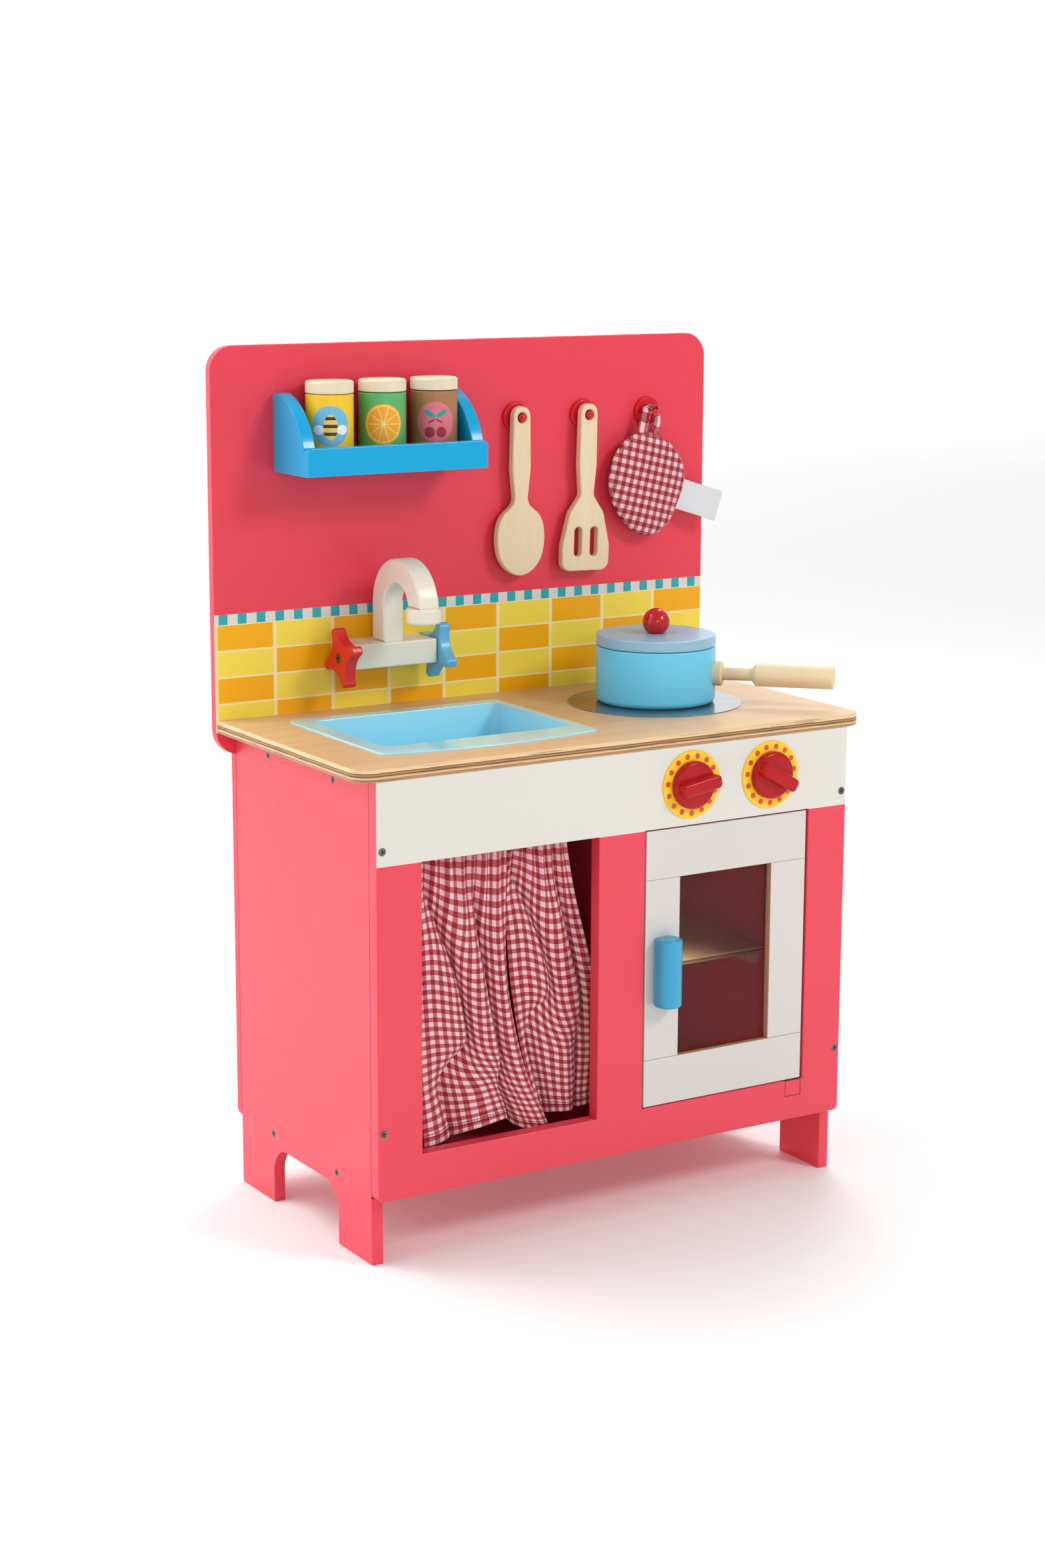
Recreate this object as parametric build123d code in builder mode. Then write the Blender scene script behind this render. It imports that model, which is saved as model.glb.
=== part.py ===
from build123d import *
import os
from math import cos, radians, sin

# Toy kitchen of painted board, millimetres. +Z is up, +X is the right side of
# somebody facing the kitchen, -Y is the front. The origin lies on the floor
# under the middle of the cabinet.

os.makedirs("parts", exist_ok=True)

# Driving sizes
FRONT = -121.9          # front face of the front board
WALL = FRONT + 255.0    # front face of the back board
FRONT_T = 12.3
SIDE_T = 10.5
TOP_T = 11.0
BACK_T = 9.3
SHELF_T = 6.0
BOTTOM_T = 10.0
CARCASS_HALF = 239.3    # half width over the side panels
TOP_HALF = 256.7        # half width of the worktop
BACK_HALF = 257.8       # half width of the back board
TOP_Z = 426.0           # worktop surface
TOTAL_Z = 750.0
LIP_Z = 58.5            # lower edge of the front board
EASE = 1.0              # sanded edge of a painted board
GAP = 0.3               # air between pieces that move past each other
FIT = 0.05              # radial clearance of a pin or screw in its hole

INNER = FRONT + FRONT_T
REAR = WALL + BACK_T
INSIDE_HALF = CARCASS_HALF - SIDE_T
UNDER_TOP = TOP_Z - TOP_T
FLOOR_Z = LIP_Z + BOTTOM_T

# Openings of the front board: x0, x1, z0, z1
CURTAIN_HOLE = (-197.0, -23.7, 94.3, 344.3)
DOOR_HOLE = (23.2, 198.0, 95.5, 344.5)

# Wood screws with a countersunk head
SCREW_R = 1.75
SCREW_HEAD_R = 3.5
SCREW_L = 28.0
SIDE_SCREWS = [(FRONT + y, z) for y in (74.0, 192.0) for z in (63.5, 404.0)]
FRONT_SCREWS = [(x, z) for x in (-234.0, 234.0) for z in (118.0, 357.0)]


def front_plane(y):
    """Upright plane at depth y: sketch x is X, sketch y is Z, extrudes forwards."""
    return Plane(origin=(0, y, 0), x_dir=(1, 0, 0), z_dir=(0, -1, 0))


def rear_plane(y):
    """Upright plane at depth y seen from behind: sketch x is -X, extrudes backwards."""
    return Plane(origin=(0, y, 0), x_dir=(-1, 0, 0), z_dir=(0, 1, 0))


def side_plane(x, side=1):
    """Upright plane at x whose normal is side * X: sketch x is side * Y."""
    return Plane(origin=(x, 0, 0), x_dir=(0, side, 0), z_dir=(side, 0, 0))


def span(x0, x1, y0, y1, mode=Mode.ADD):
    """A rectangle from corner to corner in the sketch that is open."""
    with Locations(((x0 + x1) / 2, (y0 + y1) / 2)):
        Rectangle(x1 - x0, y1 - y0, mode=mode)


def screw_holes(depth=SCREW_L):
    """A countersunk screw hole at each of the open locations."""
    CounterSinkHole(SCREW_R + FIT, SCREW_HEAD_R + FIT, depth, 90)


def wood_screw(length=SCREW_L):
    """A cross-head wood screw, its head's face on the XY plane, pointing down."""
    head_h = SCREW_HEAD_R - SCREW_R
    with BuildPart() as screw:
        with BuildSketch(Plane.XZ):
            with BuildLine():
                Polyline(
                    (0, 0),
                    (SCREW_HEAD_R, 0),
                    (SCREW_R, -head_h),
                    (SCREW_R, 2 - length),
                    (0, -length),
                    close=True,
                )
            make_face()
        revolve(axis=Axis.Z)
        with BuildSketch(Plane.XY):
            Rectangle(4.0, 0.9)
            Rectangle(0.9, 4.0)
        extrude(amount=-1.1, mode=Mode.SUBTRACT)
    return screw.part


# --- Carcass -----------------------------------------------------------------

# Side panels: an arch in the lower edge leaves two feet.
ARCH_FRONT = FRONT + 71.5
ARCH_REAR = FRONT + 191.9
ARCH_Z = 52.0
ARCH_R = 24.0
BACK_SCREW_Z = (110.0, 250.0, 382.0)

for side, label in ((-1, "side_panel_left"), (1, "side_panel_right")):
    with BuildPart() as side_panel:
        with BuildSketch(side_plane(side * INSIDE_HALF, side)):
            with Locations((side * (INNER + WALL) / 2, UNDER_TOP / 2)):
                Rectangle(WALL - INNER, UNDER_TOP)
            with Locations((side * (ARCH_FRONT + ARCH_REAR) / 2, 0)):
                RectangleRounded(ARCH_REAR - ARCH_FRONT, 2 * ARCH_Z, ARCH_R, mode=Mode.SUBTRACT)
        extrude(amount=SIDE_T)
        outer_face = side_panel.faces().sort_by(Axis.X)[0 if side < 0 else -1]
        fillet(outer_face.edges(), EASE)
        with Locations(side_plane(side * CARCASS_HALF, side)):
            with Locations(*[(side * y, z) for y, z in SIDE_SCREWS]):
                screw_holes()
        with Locations(front_plane(INNER)):
            with Locations(*[(x, z) for x, z in FRONT_SCREWS if x * side > 0]):
                Hole(SCREW_R + FIT, SCREW_L)
        with Locations(rear_plane(WALL)):
            with Locations(*[(-side * 234.0, z) for z in BACK_SCREW_Z]):
                Hole(SCREW_R + FIT, SCREW_L)
    side_panel.part.label = label
    export_step(side_panel.part, f"parts/{label}.step")

# Places of the rear screws: they hold the side panels, the bottom board, the tap,
# the spice shelf and the hooks.
TAP_X = -98.4
TAP_BASE_Z = 466.3
TAP_BASE_H = 22.0
HOOK_X = (47.1, 120.0, 191.1)
HOOK_Z = 678.7
RACK = (-198.0, -19.0)      # spice shelf, from end to end
RACK_Z = 640.5
RACK_BOARD_T = 8.0
RACK_END_T = 12.0
BACK_SCREWS = (
    [(x, z) for x in (-234.0, 234.0) for z in BACK_SCREW_Z]
    + [(x, FLOOR_Z - BOTTOM_T / 2) for x in (-120.0, 120.0)]
    + [(TAP_X + x, TAP_BASE_Z + TAP_BASE_H / 2) for x in (-24.0, 24.0)]
    + [(RACK[0] + RACK_END_T / 2, 680.0), (RACK[1] - RACK_END_T / 2, 680.0)]
)
HOOK_SCREWS = [(x, HOOK_Z) for x in HOOK_X]
HOOK_SCREW_L = 16.0

# Bottom board between the side panels, level with the front board's lower edge.
with BuildPart() as bottom_board:
    with BuildSketch(Plane.XY.offset(LIP_Z)):
        span(-INSIDE_HALF, INSIDE_HALF, INNER, WALL)
    extrude(amount=BOTTOM_T)
    for side in (-1, 1):
        with Locations(side_plane(side * INSIDE_HALF, side)):
            with Locations(*[(side * y, z) for y, z in SIDE_SCREWS if z < 100]):
                Hole(SCREW_R + FIT, SCREW_L)
    with Locations(rear_plane(WALL)):
        with Locations(*[(-x, z) for x, z in BACK_SCREWS if z < 100]):
            Hole(SCREW_R + FIT, SCREW_L)
bottom_board.part.label = "bottom_board"
export_step(bottom_board.part, "parts/bottom_board.step")

# Divider between the cupboard and the oven.
DIVIDER_X = 0.0
DIVIDER_T = 10.0
with BuildPart() as middle_divider:
    with BuildSketch(side_plane(DIVIDER_X)):
        span(INNER, WALL, FLOOR_Z, UNDER_TOP)
    extrude(amount=DIVIDER_T)
middle_divider.part.label = "middle_divider"
export_step(middle_divider.part, "parts/middle_divider.step")

# Oven shelf and the two battens it rests on.
SHELF_Z = 184.0
SHELF_FRONT = FRONT + 105.0
BATTEN = 10.0
with BuildPart() as oven_shelf:
    with BuildSketch(Plane.XY.offset(SHELF_Z)):
        span(DIVIDER_X + DIVIDER_T, INSIDE_HALF, SHELF_FRONT, WALL)
    extrude(amount=SHELF_T)
    fillet(oven_shelf.edges().filter_by(Axis.X).group_by(Axis.Y)[0], 0.8)
oven_shelf.part.label = "oven_shelf"
export_step(oven_shelf.part, "parts/oven_shelf.step")

with BuildPart() as shelf_battens:
    with BuildSketch(Plane.XY.offset(SHELF_Z - BATTEN)):
        for x in (DIVIDER_X + DIVIDER_T, INSIDE_HALF - BATTEN):
            span(x, x + BATTEN, SHELF_FRONT + 5, WALL)
    extrude(amount=BATTEN)
shelf_battens.part.label = "shelf_battens"
export_step(shelf_battens.part, "parts/shelf_battens.step")

# Cleats under the worktop, one on each side panel, that take the upper side screws.
CLEAT = 18.0
with BuildPart() as worktop_cleats:
    with BuildSketch(Plane.XY.offset(UNDER_TOP - CLEAT)):
        for x in (-INSIDE_HALF, INSIDE_HALF - CLEAT):
            span(x, x + CLEAT, INNER + 4, WALL)
    extrude(amount=CLEAT)
    for side in (-1, 1):
        with Locations(side_plane(side * INSIDE_HALF, side)):
            with Locations(*[(side * y, z) for y, z in SIDE_SCREWS if z > 100]):
                Hole(SCREW_R + FIT, SCREW_L - SIDE_T + 0.4)
worktop_cleats.part.label = "worktop_cleats"
export_step(worktop_cleats.part, "parts/worktop_cleats.step")

# Front board: one board with the curtain opening, the door opening and a notch
# for the hinge block. Its upper band is painted white.
HINGE_BLOCK = (178.8, 196.4, 80.2, DOOR_HOLE[2])
KNOB_X = (70.1, 154.0)
KNOB_Z = 380.5
KNOB_SCREW_R = 2.5
HINGE_X = 187.5
HINGE_Y = FRONT + 6.15
PIN_R = 2.0
with BuildPart() as front_board:
    with BuildSketch(front_plane(INNER)) as board_face:
        span(-CARCASS_HALF, CARCASS_HALF, LIP_Z, UNDER_TOP)
        fillet(board_face.vertices().group_by(Axis.Y)[0], 5.0)
        span(*CURTAIN_HOLE, mode=Mode.SUBTRACT)
        span(*DOOR_HOLE, mode=Mode.SUBTRACT)
    extrude(amount=FRONT_T)
    fillet(front_board.faces().sort_by(Axis.Y)[0].edges(), EASE)
    with BuildSketch(front_plane(INNER)):
        span(*HINGE_BLOCK)
    extrude(amount=FRONT_T + 1, mode=Mode.SUBTRACT)
    with Locations(front_plane(FRONT)):
        with Locations(*FRONT_SCREWS):
            screw_holes()
        with Locations(*[(x, KNOB_Z) for x in KNOB_X]):
            Hole(KNOB_SCREW_R + FIT)
    with BuildSketch(Plane.XY.offset(DOOR_HOLE[3])):
        with Locations((HINGE_X, HINGE_Y)):
            Circle(PIN_R)
    extrude(amount=12.0, mode=Mode.SUBTRACT)
front_board.part.label = "front_board"
export_step(front_board.part, "parts/front_board.step")

# Back board: one board with a wide upper part and narrower lower part, rounded
# at its four upper corners and at the foot.
SHOULDER_Z = 394.6
BACK_FOOT_Z = 59.5
with BuildPart() as back_board:
    with BuildSketch(front_plane(REAR)):
        with BuildSketch(front_plane(REAR), mode=Mode.PRIVATE) as wide:
            span(-BACK_HALF, BACK_HALF, SHOULDER_Z, TOTAL_Z)
            fillet(wide.vertices(), 22.0)
        with BuildSketch(front_plane(REAR), mode=Mode.PRIVATE) as narrow:
            span(-CARCASS_HALF, CARCASS_HALF, BACK_FOOT_Z, SHOULDER_Z + 40)
            fillet(narrow.vertices().group_by(Axis.Y)[0], 8.0)
        add(wide.sketch_local)
        add(narrow.sketch_local)
    extrude(amount=BACK_T)
    fillet(back_board.faces().sort_by(Axis.Y)[0].edges(), EASE)
    fillet(back_board.faces().sort_by(Axis.Y)[-1].edges(), EASE)
    with Locations(rear_plane(REAR)):
        with Locations(*[(-x, z) for x, z in BACK_SCREWS + HOOK_SCREWS]):
            screw_holes(BACK_T + 1)
back_board.part.label = "back_board"
export_step(back_board.part, "parts/back_board.step")

# Fasteners, one node for each group of identical screws.
with BuildPart() as side_screws:
    for side in (-1, 1):
        with Locations(side_plane(side * CARCASS_HALF, side)):
            with Locations(*[(side * y, z) for y, z in SIDE_SCREWS]):
                add(wood_screw())
side_screws.part.label = "side_screws"
export_step(side_screws.part, "parts/side_screws.step")

with BuildPart() as front_screws:
    with Locations(front_plane(FRONT)):
        with Locations(*FRONT_SCREWS):
            add(wood_screw())
front_screws.part.label = "front_screws"
export_step(front_screws.part, "parts/front_screws.step")

with BuildPart() as back_screws:
    with Locations(rear_plane(REAR)):
        with Locations(*[(-x, z) for x, z in BACK_SCREWS]):
            add(wood_screw())
        with Locations(*[(-x, z) for x, z in HOOK_SCREWS]):
            add(wood_screw(HOOK_SCREW_L))
back_screws.part.label = "back_screws"
export_step(back_screws.part, "parts/back_screws.step")

# --- Worktop -----------------------------------------------------------------

SINK_HOLE = (-190.5, -3.0, FRONT + 72.0, FRONT + 205.0)   # mouth of the bowl
SINK_WALL = 1.6
SINK_SLACK = 1.0
with BuildPart() as worktop:
    with BuildSketch(Plane.XY.offset(UNDER_TOP)) as top_face:
        span(-TOP_HALF, TOP_HALF, FRONT - 1.3, WALL)
        fillet(top_face.vertices().group_by(Axis.Y)[0], 17.0)
        grow = SINK_WALL + SINK_SLACK
        x0, x1, y0, y1 = SINK_HOLE
        with Locations(((x0 + x1) / 2, (y0 + y1) / 2)):
            RectangleRounded(x1 - x0 + 2 * grow, y1 - y0 + 2 * grow, 11.0, mode=Mode.SUBTRACT)
    extrude(amount=TOP_T)
    fillet(worktop.faces().sort_by(Axis.Z)[-1].edges().filter_by_position(Axis.Y, 2 * FRONT, WALL - 1), EASE)
    under_rim = worktop.faces().sort_by(Axis.Z)[0].outer_wire().edges()
    fillet(under_rim.filter_by_position(Axis.Y, 2 * FRONT, WALL - 1), EASE)
worktop.part.label = "worktop"
export_step(worktop.part, "parts/worktop.step")

# Sink tray: moulded, with a bow-fronted rim that lies on the worktop.
RIM_T = 1.5
BOWL_DEPTH = 46.0
BOWL_R = 9.0
BOWL_TAPER = 5.0
RIM_LEFT, RIM_RIGHT, RIM_REAR = -208.0, 6.0, FRONT + 219.0
RIM_CORNER_Y = FRONT + 46.0
RIM_BOW_Y = FRONT + 33.0
with BuildPart() as sink_tray:
    with BuildSketch(Plane.XY.offset(TOP_Z)) as rim:
        with BuildLine():
            Polyline(
                (RIM_LEFT, RIM_CORNER_Y), (RIM_LEFT, RIM_REAR),
                (RIM_RIGHT, RIM_REAR), (RIM_RIGHT, RIM_CORNER_Y),
            )
            ThreePointArc(
                (RIM_LEFT, RIM_CORNER_Y),
                ((RIM_LEFT + RIM_RIGHT) / 2, RIM_BOW_Y),
                (RIM_RIGHT, RIM_CORNER_Y),
            )
        make_face()
        fillet(rim.vertices(), 9.0)
    extrude(amount=RIM_T)
    with BuildSketch(Plane.XY.offset(TOP_Z)):
        with Locations(((x0 + x1) / 2, (y0 + y1) / 2)):
            RectangleRounded(x1 - x0 + 2 * SINK_WALL, y1 - y0 + 2 * SINK_WALL, BOWL_R + SINK_WALL)
    extrude(amount=-BOWL_DEPTH, taper=BOWL_TAPER)
    with BuildSketch(Plane.XY.offset(TOP_Z + RIM_T)):
        with Locations(((x0 + x1) / 2, (y0 + y1) / 2)):
            RectangleRounded(x1 - x0, y1 - y0, BOWL_R)
    extrude(amount=-(BOWL_DEPTH + RIM_T - SINK_WALL), taper=BOWL_TAPER, mode=Mode.SUBTRACT)
    fillet(sink_tray.faces().sort_by(Axis.Z)[-1].edges(), 1.0)
sink_tray.part.label = "sink_tray"
export_step(sink_tray.part, "parts/sink_tray.step")

# Burner disc, a thin glossy plate on the worktop.
BURNER_X, BURNER_Y = 126.1, FRONT + 139.2
BURNER_T = 0.8
with BuildPart() as burner_disc:
    with BuildSketch(Plane.XY.offset(TOP_Z)):
        with Locations((BURNER_X, BURNER_Y)):
            Circle(79.2)
    extrude(amount=BURNER_T)
    fillet(burner_disc.edges().group_by(Axis.Z)[-1], 0.4)
burner_disc.part.label = "burner_disc"
export_step(burner_disc.part, "parts/burner_disc.step")

# --- Oven door ---------------------------------------------------------------

DOOR = (24.6, 195.3, 96.5, 343.4)
DOOR_T = 12.0
DOOR_BACK = FRONT + DOOR_T
WINDOW = (60.3, 157.8, 139.0, 300.0)
REBATE = 4.0
REBATE_Y = FRONT + 5.0
PIN_DEPTH = 10.0
rail_boxes = {
    "door_top_rail": (DOOR[0], DOOR[1], WINDOW[3], DOOR[3]),
    "door_bottom_rail": (DOOR[0], DOOR[1], DOOR[2], WINDOW[2]),
    "door_latch_stile": (DOOR[0], WINDOW[0], WINDOW[2], WINDOW[3]),
    "door_hinge_stile": (WINDOW[1], DOOR[1], WINDOW[2], WINDOW[3]),
}
STRIKE_R = 7.0
STRIKE_T = 1.0
STRIKE_X, STRIKE_Z = 33.5, 220.0
for label, box in rail_boxes.items():
    with BuildPart() as door_piece:
        with BuildSketch(front_plane(DOOR_BACK)):
            span(*box)
        extrude(amount=DOOR_T)
        fillet(door_piece.faces().sort_by(Axis.Y)[0].edges(), 0.7)
        fillet(door_piece.faces().sort_by(Axis.Y)[-1].edges(), 0.5)
        with BuildSketch(front_plane(DOOR_BACK)):
            span(WINDOW[0] - REBATE, WINDOW[1] + REBATE, WINDOW[2] - REBATE, WINDOW[3] + REBATE)
        extrude(amount=DOOR_BACK - REBATE_Y, mode=Mode.SUBTRACT)
        if label == "door_top_rail":
            with BuildSketch(Plane.XY.offset(DOOR[3])):
                with Locations((HINGE_X, HINGE_Y)):
                    Circle(PIN_R + FIT)
            extrude(amount=-PIN_DEPTH - 1, mode=Mode.SUBTRACT)
        if label == "door_bottom_rail":
            with BuildSketch(Plane.XY.offset(DOOR[2])):
                with Locations((HINGE_X, HINGE_Y)):
                    Circle(PIN_R + FIT)
            extrude(amount=PIN_DEPTH + 1, mode=Mode.SUBTRACT)
        if label == "door_latch_stile":
            with BuildSketch(front_plane(DOOR_BACK)):
                with Locations((STRIKE_X, STRIKE_Z)):
                    Circle(STRIKE_R + FIT)
            extrude(amount=STRIKE_T, mode=Mode.SUBTRACT)
    door_piece.part.label = label
    export_step(door_piece.part, f"parts/{label}.step")

# Smoke-brown window, held in the rebate behind the frame.
WINDOW_SLACK = 0.4
with BuildPart() as door_window:
    with BuildSketch(front_plane(REBATE_Y + 3.0 + FIT)):
        inset = REBATE - WINDOW_SLACK
        span(WINDOW[0] - inset, WINDOW[1] + inset, WINDOW[2] - inset, WINDOW[3] + inset)
    extrude(amount=3.0)
door_window.part.label = "door_window"
export_step(door_window.part, "parts/door_window.step")

# Handle: a dowel with one side planed flat, glued upright on the latch stile.
HANDLE_X = 43.0
HANDLE_R = 12.0
HANDLE_OUT = 8.5
HANDLE_Z = (188.0, 249.0)
with BuildPart() as door_handle:
    with BuildSketch(Plane.XY.offset(HANDLE_Z[0])):
        with Locations((HANDLE_X, FRONT - HANDLE_OUT)):
            Circle(HANDLE_R)
        span(HANDLE_X - 20, HANDLE_X + 20, FRONT, FRONT + 10, mode=Mode.SUBTRACT)
    extrude(amount=HANDLE_Z[1] - HANDLE_Z[0])
    fillet(door_handle.edges().filter_by(GeomType.CIRCLE), 2.5)
door_handle.part.label = "door_handle"
export_step(door_handle.part, "parts/door_handle.step")

# Hinge block fills the notch under the door and holds the lower pin.
with BuildPart() as hinge_block:
    with BuildSketch(front_plane(INNER)):
        span(*HINGE_BLOCK)
    extrude(amount=FRONT_T)
    fillet(hinge_block.faces().sort_by(Axis.Y)[0].edges(), 0.5)
    with BuildSketch(Plane.XY.offset(DOOR_HOLE[2])):
        with Locations((HINGE_X, HINGE_Y)):
            Circle(PIN_R)
    extrude(amount=-PIN_DEPTH, mode=Mode.SUBTRACT)
hinge_block.part.label = "hinge_block"
export_step(hinge_block.part, "parts/hinge_block.step")

# Hinge pins, the lower one with a washer flange that carries the door.
WASHER_R = 5.0
with BuildPart() as hinge_pins:
    with BuildSketch(Plane.XY.offset(DOOR_HOLE[2] - PIN_DEPTH)):
        with Locations((HINGE_X, HINGE_Y)):
            Circle(PIN_R)
    extrude(amount=PIN_DEPTH + DOOR[2] - DOOR_HOLE[2] + PIN_DEPTH)
    with BuildSketch(Plane.XY.offset(DOOR_HOLE[2])):
        with Locations((HINGE_X, HINGE_Y)):
            Circle(WASHER_R)
    extrude(amount=DOOR[2] - DOOR_HOLE[2] - FIT)
    with BuildSketch(Plane.XY.offset(DOOR[3] - PIN_DEPTH)):
        with Locations((HINGE_X, HINGE_Y)):
            Circle(PIN_R)
    extrude(amount=PIN_DEPTH + DOOR_HOLE[3] - DOOR[3] + 12.0)
hinge_pins.part.label = "hinge_pins"
export_step(hinge_pins.part, "parts/hinge_pins.step")

# Magnetic catch behind the middle stile, and the steel disc it pulls on.
with BuildPart() as magnet_catch:
    with BuildSketch(front_plane(INNER + 12.0)):
        span(DIVIDER_X + DIVIDER_T, STRIKE_X + 8, STRIKE_Z - 14, STRIKE_Z + 14)
    extrude(amount=12.0)
    fillet(magnet_catch.edges().filter_by(Axis.Y).group_by(Axis.X)[-1], 3.0)
magnet_catch.part.label = "magnet_catch"
export_step(magnet_catch.part, "parts/magnet_catch.step")

with BuildPart() as strike_plate:
    with BuildSketch(front_plane(DOOR_BACK)):
        with Locations((STRIKE_X, STRIKE_Z)):
            Circle(STRIKE_R)
    extrude(amount=STRIKE_T)
strike_plate.part.label = "strike_plate"
export_step(strike_plate.part, "parts/strike_plate.step")

# --- Cupboard curtain --------------------------------------------------------

ROD_Z = 351.0
ROD_Y = INNER + 9.0
ROD_R = 2.5
HOLDER_T = 3.0
CURTAIN_Y = (INNER + 1.0, INNER + 17.0)
CURTAIN_Z = (78.0, 357.0)
CURTAIN_SPLIT = -105.0
with BuildPart() as curtain_rod:
    with BuildSketch(side_plane(-INSIDE_HALF)):
        with Locations((ROD_Y, ROD_Z)):
            Circle(ROD_R)
    extrude(amount=INSIDE_HALF + DIVIDER_X)
curtain_rod.part.label = "curtain_rod"
export_step(curtain_rod.part, "parts/curtain_rod.step")

with BuildPart() as rod_holders:
    for x in (-INSIDE_HALF, DIVIDER_X - HOLDER_T):
        with BuildSketch(side_plane(x)):
            with Locations((ROD_Y, ROD_Z)):
                Circle(7.0)
                Circle(ROD_R + FIT, mode=Mode.SUBTRACT)
        extrude(amount=HOLDER_T)
rod_holders.part.label = "rod_holders"
export_step(rod_holders.part, "parts/rod_holders.step")

# Each gathered panel is a plain slab with a bore for the rod.
curtain_spans = {
    "curtain_left": (-204.0, CURTAIN_SPLIT - GAP),
    "curtain_right": (CURTAIN_SPLIT + GAP, -29.0),
}
for label, (x0, x1) in curtain_spans.items():
    with BuildPart() as curtain:
        with BuildSketch(side_plane(x0)):
            span(*CURTAIN_Y, *CURTAIN_Z)
            with Locations((ROD_Y, ROD_Z)):
                Circle(ROD_R + GAP, mode=Mode.SUBTRACT)
        extrude(amount=x1 - x0)
    curtain.part.label = label
    export_step(curtain.part, f"parts/{label}.step")

# --- Tap ---------------------------------------------------------------------

TAP_BASE_HALF = 42.0
TAP_BASE_OUT = 38.0
SPOUT_W = 20.0
ARCH_OUT = 43.0
ARCH_IN = 21.5
ARCH_CENTRE = (FRONT + 200.5, 521.6)
SPOUT_END_Z = 525.0
STAR_Y = FRONT + 226.5
STAR_Z = 476.5
STAR_T = 11.3
STAR_SCREW_R = 2.0
STAR_HEAD_R = 4.5
STAR_HEAD_T = 2.5
with BuildPart() as tap_base:
    with BuildSketch(Plane.XY.offset(TAP_BASE_Z)):
        span(TAP_X - TAP_BASE_HALF, TAP_X + TAP_BASE_HALF, WALL - TAP_BASE_OUT, WALL)
    extrude(amount=TAP_BASE_H)
    fillet(tap_base.edges().filter_by_position(Axis.Y, -200, WALL - 1), 1.8)
    with Locations(rear_plane(WALL)):
        with Locations(*[(-x, z) for x, z in BACK_SCREWS if TAP_BASE_Z < z < TAP_BASE_Z + TAP_BASE_H]):
            Hole(SCREW_R + FIT, SCREW_L - BACK_T + 0.5)
    for side in (-1, 1):
        with Locations(side_plane(TAP_X + side * TAP_BASE_HALF, side)):
            with Locations((side * STAR_Y, STAR_Z)):
                Hole(STAR_SCREW_R, 12.0)
tap_base.part.label = "tap_base"
export_step(tap_base.part, "parts/tap_base.step")

with BuildPart() as tap_spout:
    with BuildSketch(side_plane(TAP_X - SPOUT_W / 2)):
        with Locations(ARCH_CENTRE):
            Circle(ARCH_OUT)
            Circle(ARCH_IN, mode=Mode.SUBTRACT)
        yc, zc = ARCH_CENTRE
        span(yc - 60, yc + 60, zc - 60, zc, mode=Mode.SUBTRACT)
        span(yc - 60, yc, zc - 60, SPOUT_END_Z, mode=Mode.SUBTRACT)
        span(yc + ARCH_IN, yc + ARCH_OUT, TAP_BASE_Z + TAP_BASE_H, zc)
    extrude(amount=SPOUT_W)
    fillet(tap_spout.faces().sort_by(Axis.X)[0].edges(), 2.2)
    fillet(tap_spout.faces().sort_by(Axis.X)[-1].edges(), 2.2)
tap_spout.part.label = "tap_spout"
export_step(tap_spout.part, "parts/tap_spout.step")

NOZZLE_Y = ARCH_CENTRE[0] - (ARCH_OUT + ARCH_IN) / 2
NOZZLE_R = 15.6
NOZZLE_H = 13.5
with BuildPart() as tap_nozzle:
    with BuildSketch(Plane.XY.offset(SPOUT_END_Z - NOZZLE_H)):
        with Locations((TAP_X, NOZZLE_Y)):
            Circle(NOZZLE_R)
    extrude(amount=NOZZLE_H)
    fillet(tap_nozzle.edges().filter_by(GeomType.CIRCLE), 2.2)
    with BuildSketch(Plane.XY.offset(SPOUT_END_Z - NOZZLE_H)):
        with Locations((TAP_X, NOZZLE_Y)):
            Circle(5.0)
    extrude(amount=7.0, mode=Mode.SUBTRACT)
tap_nozzle.part.label = "tap_nozzle"
export_step(tap_nozzle.part, "parts/tap_nozzle.step")

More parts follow.
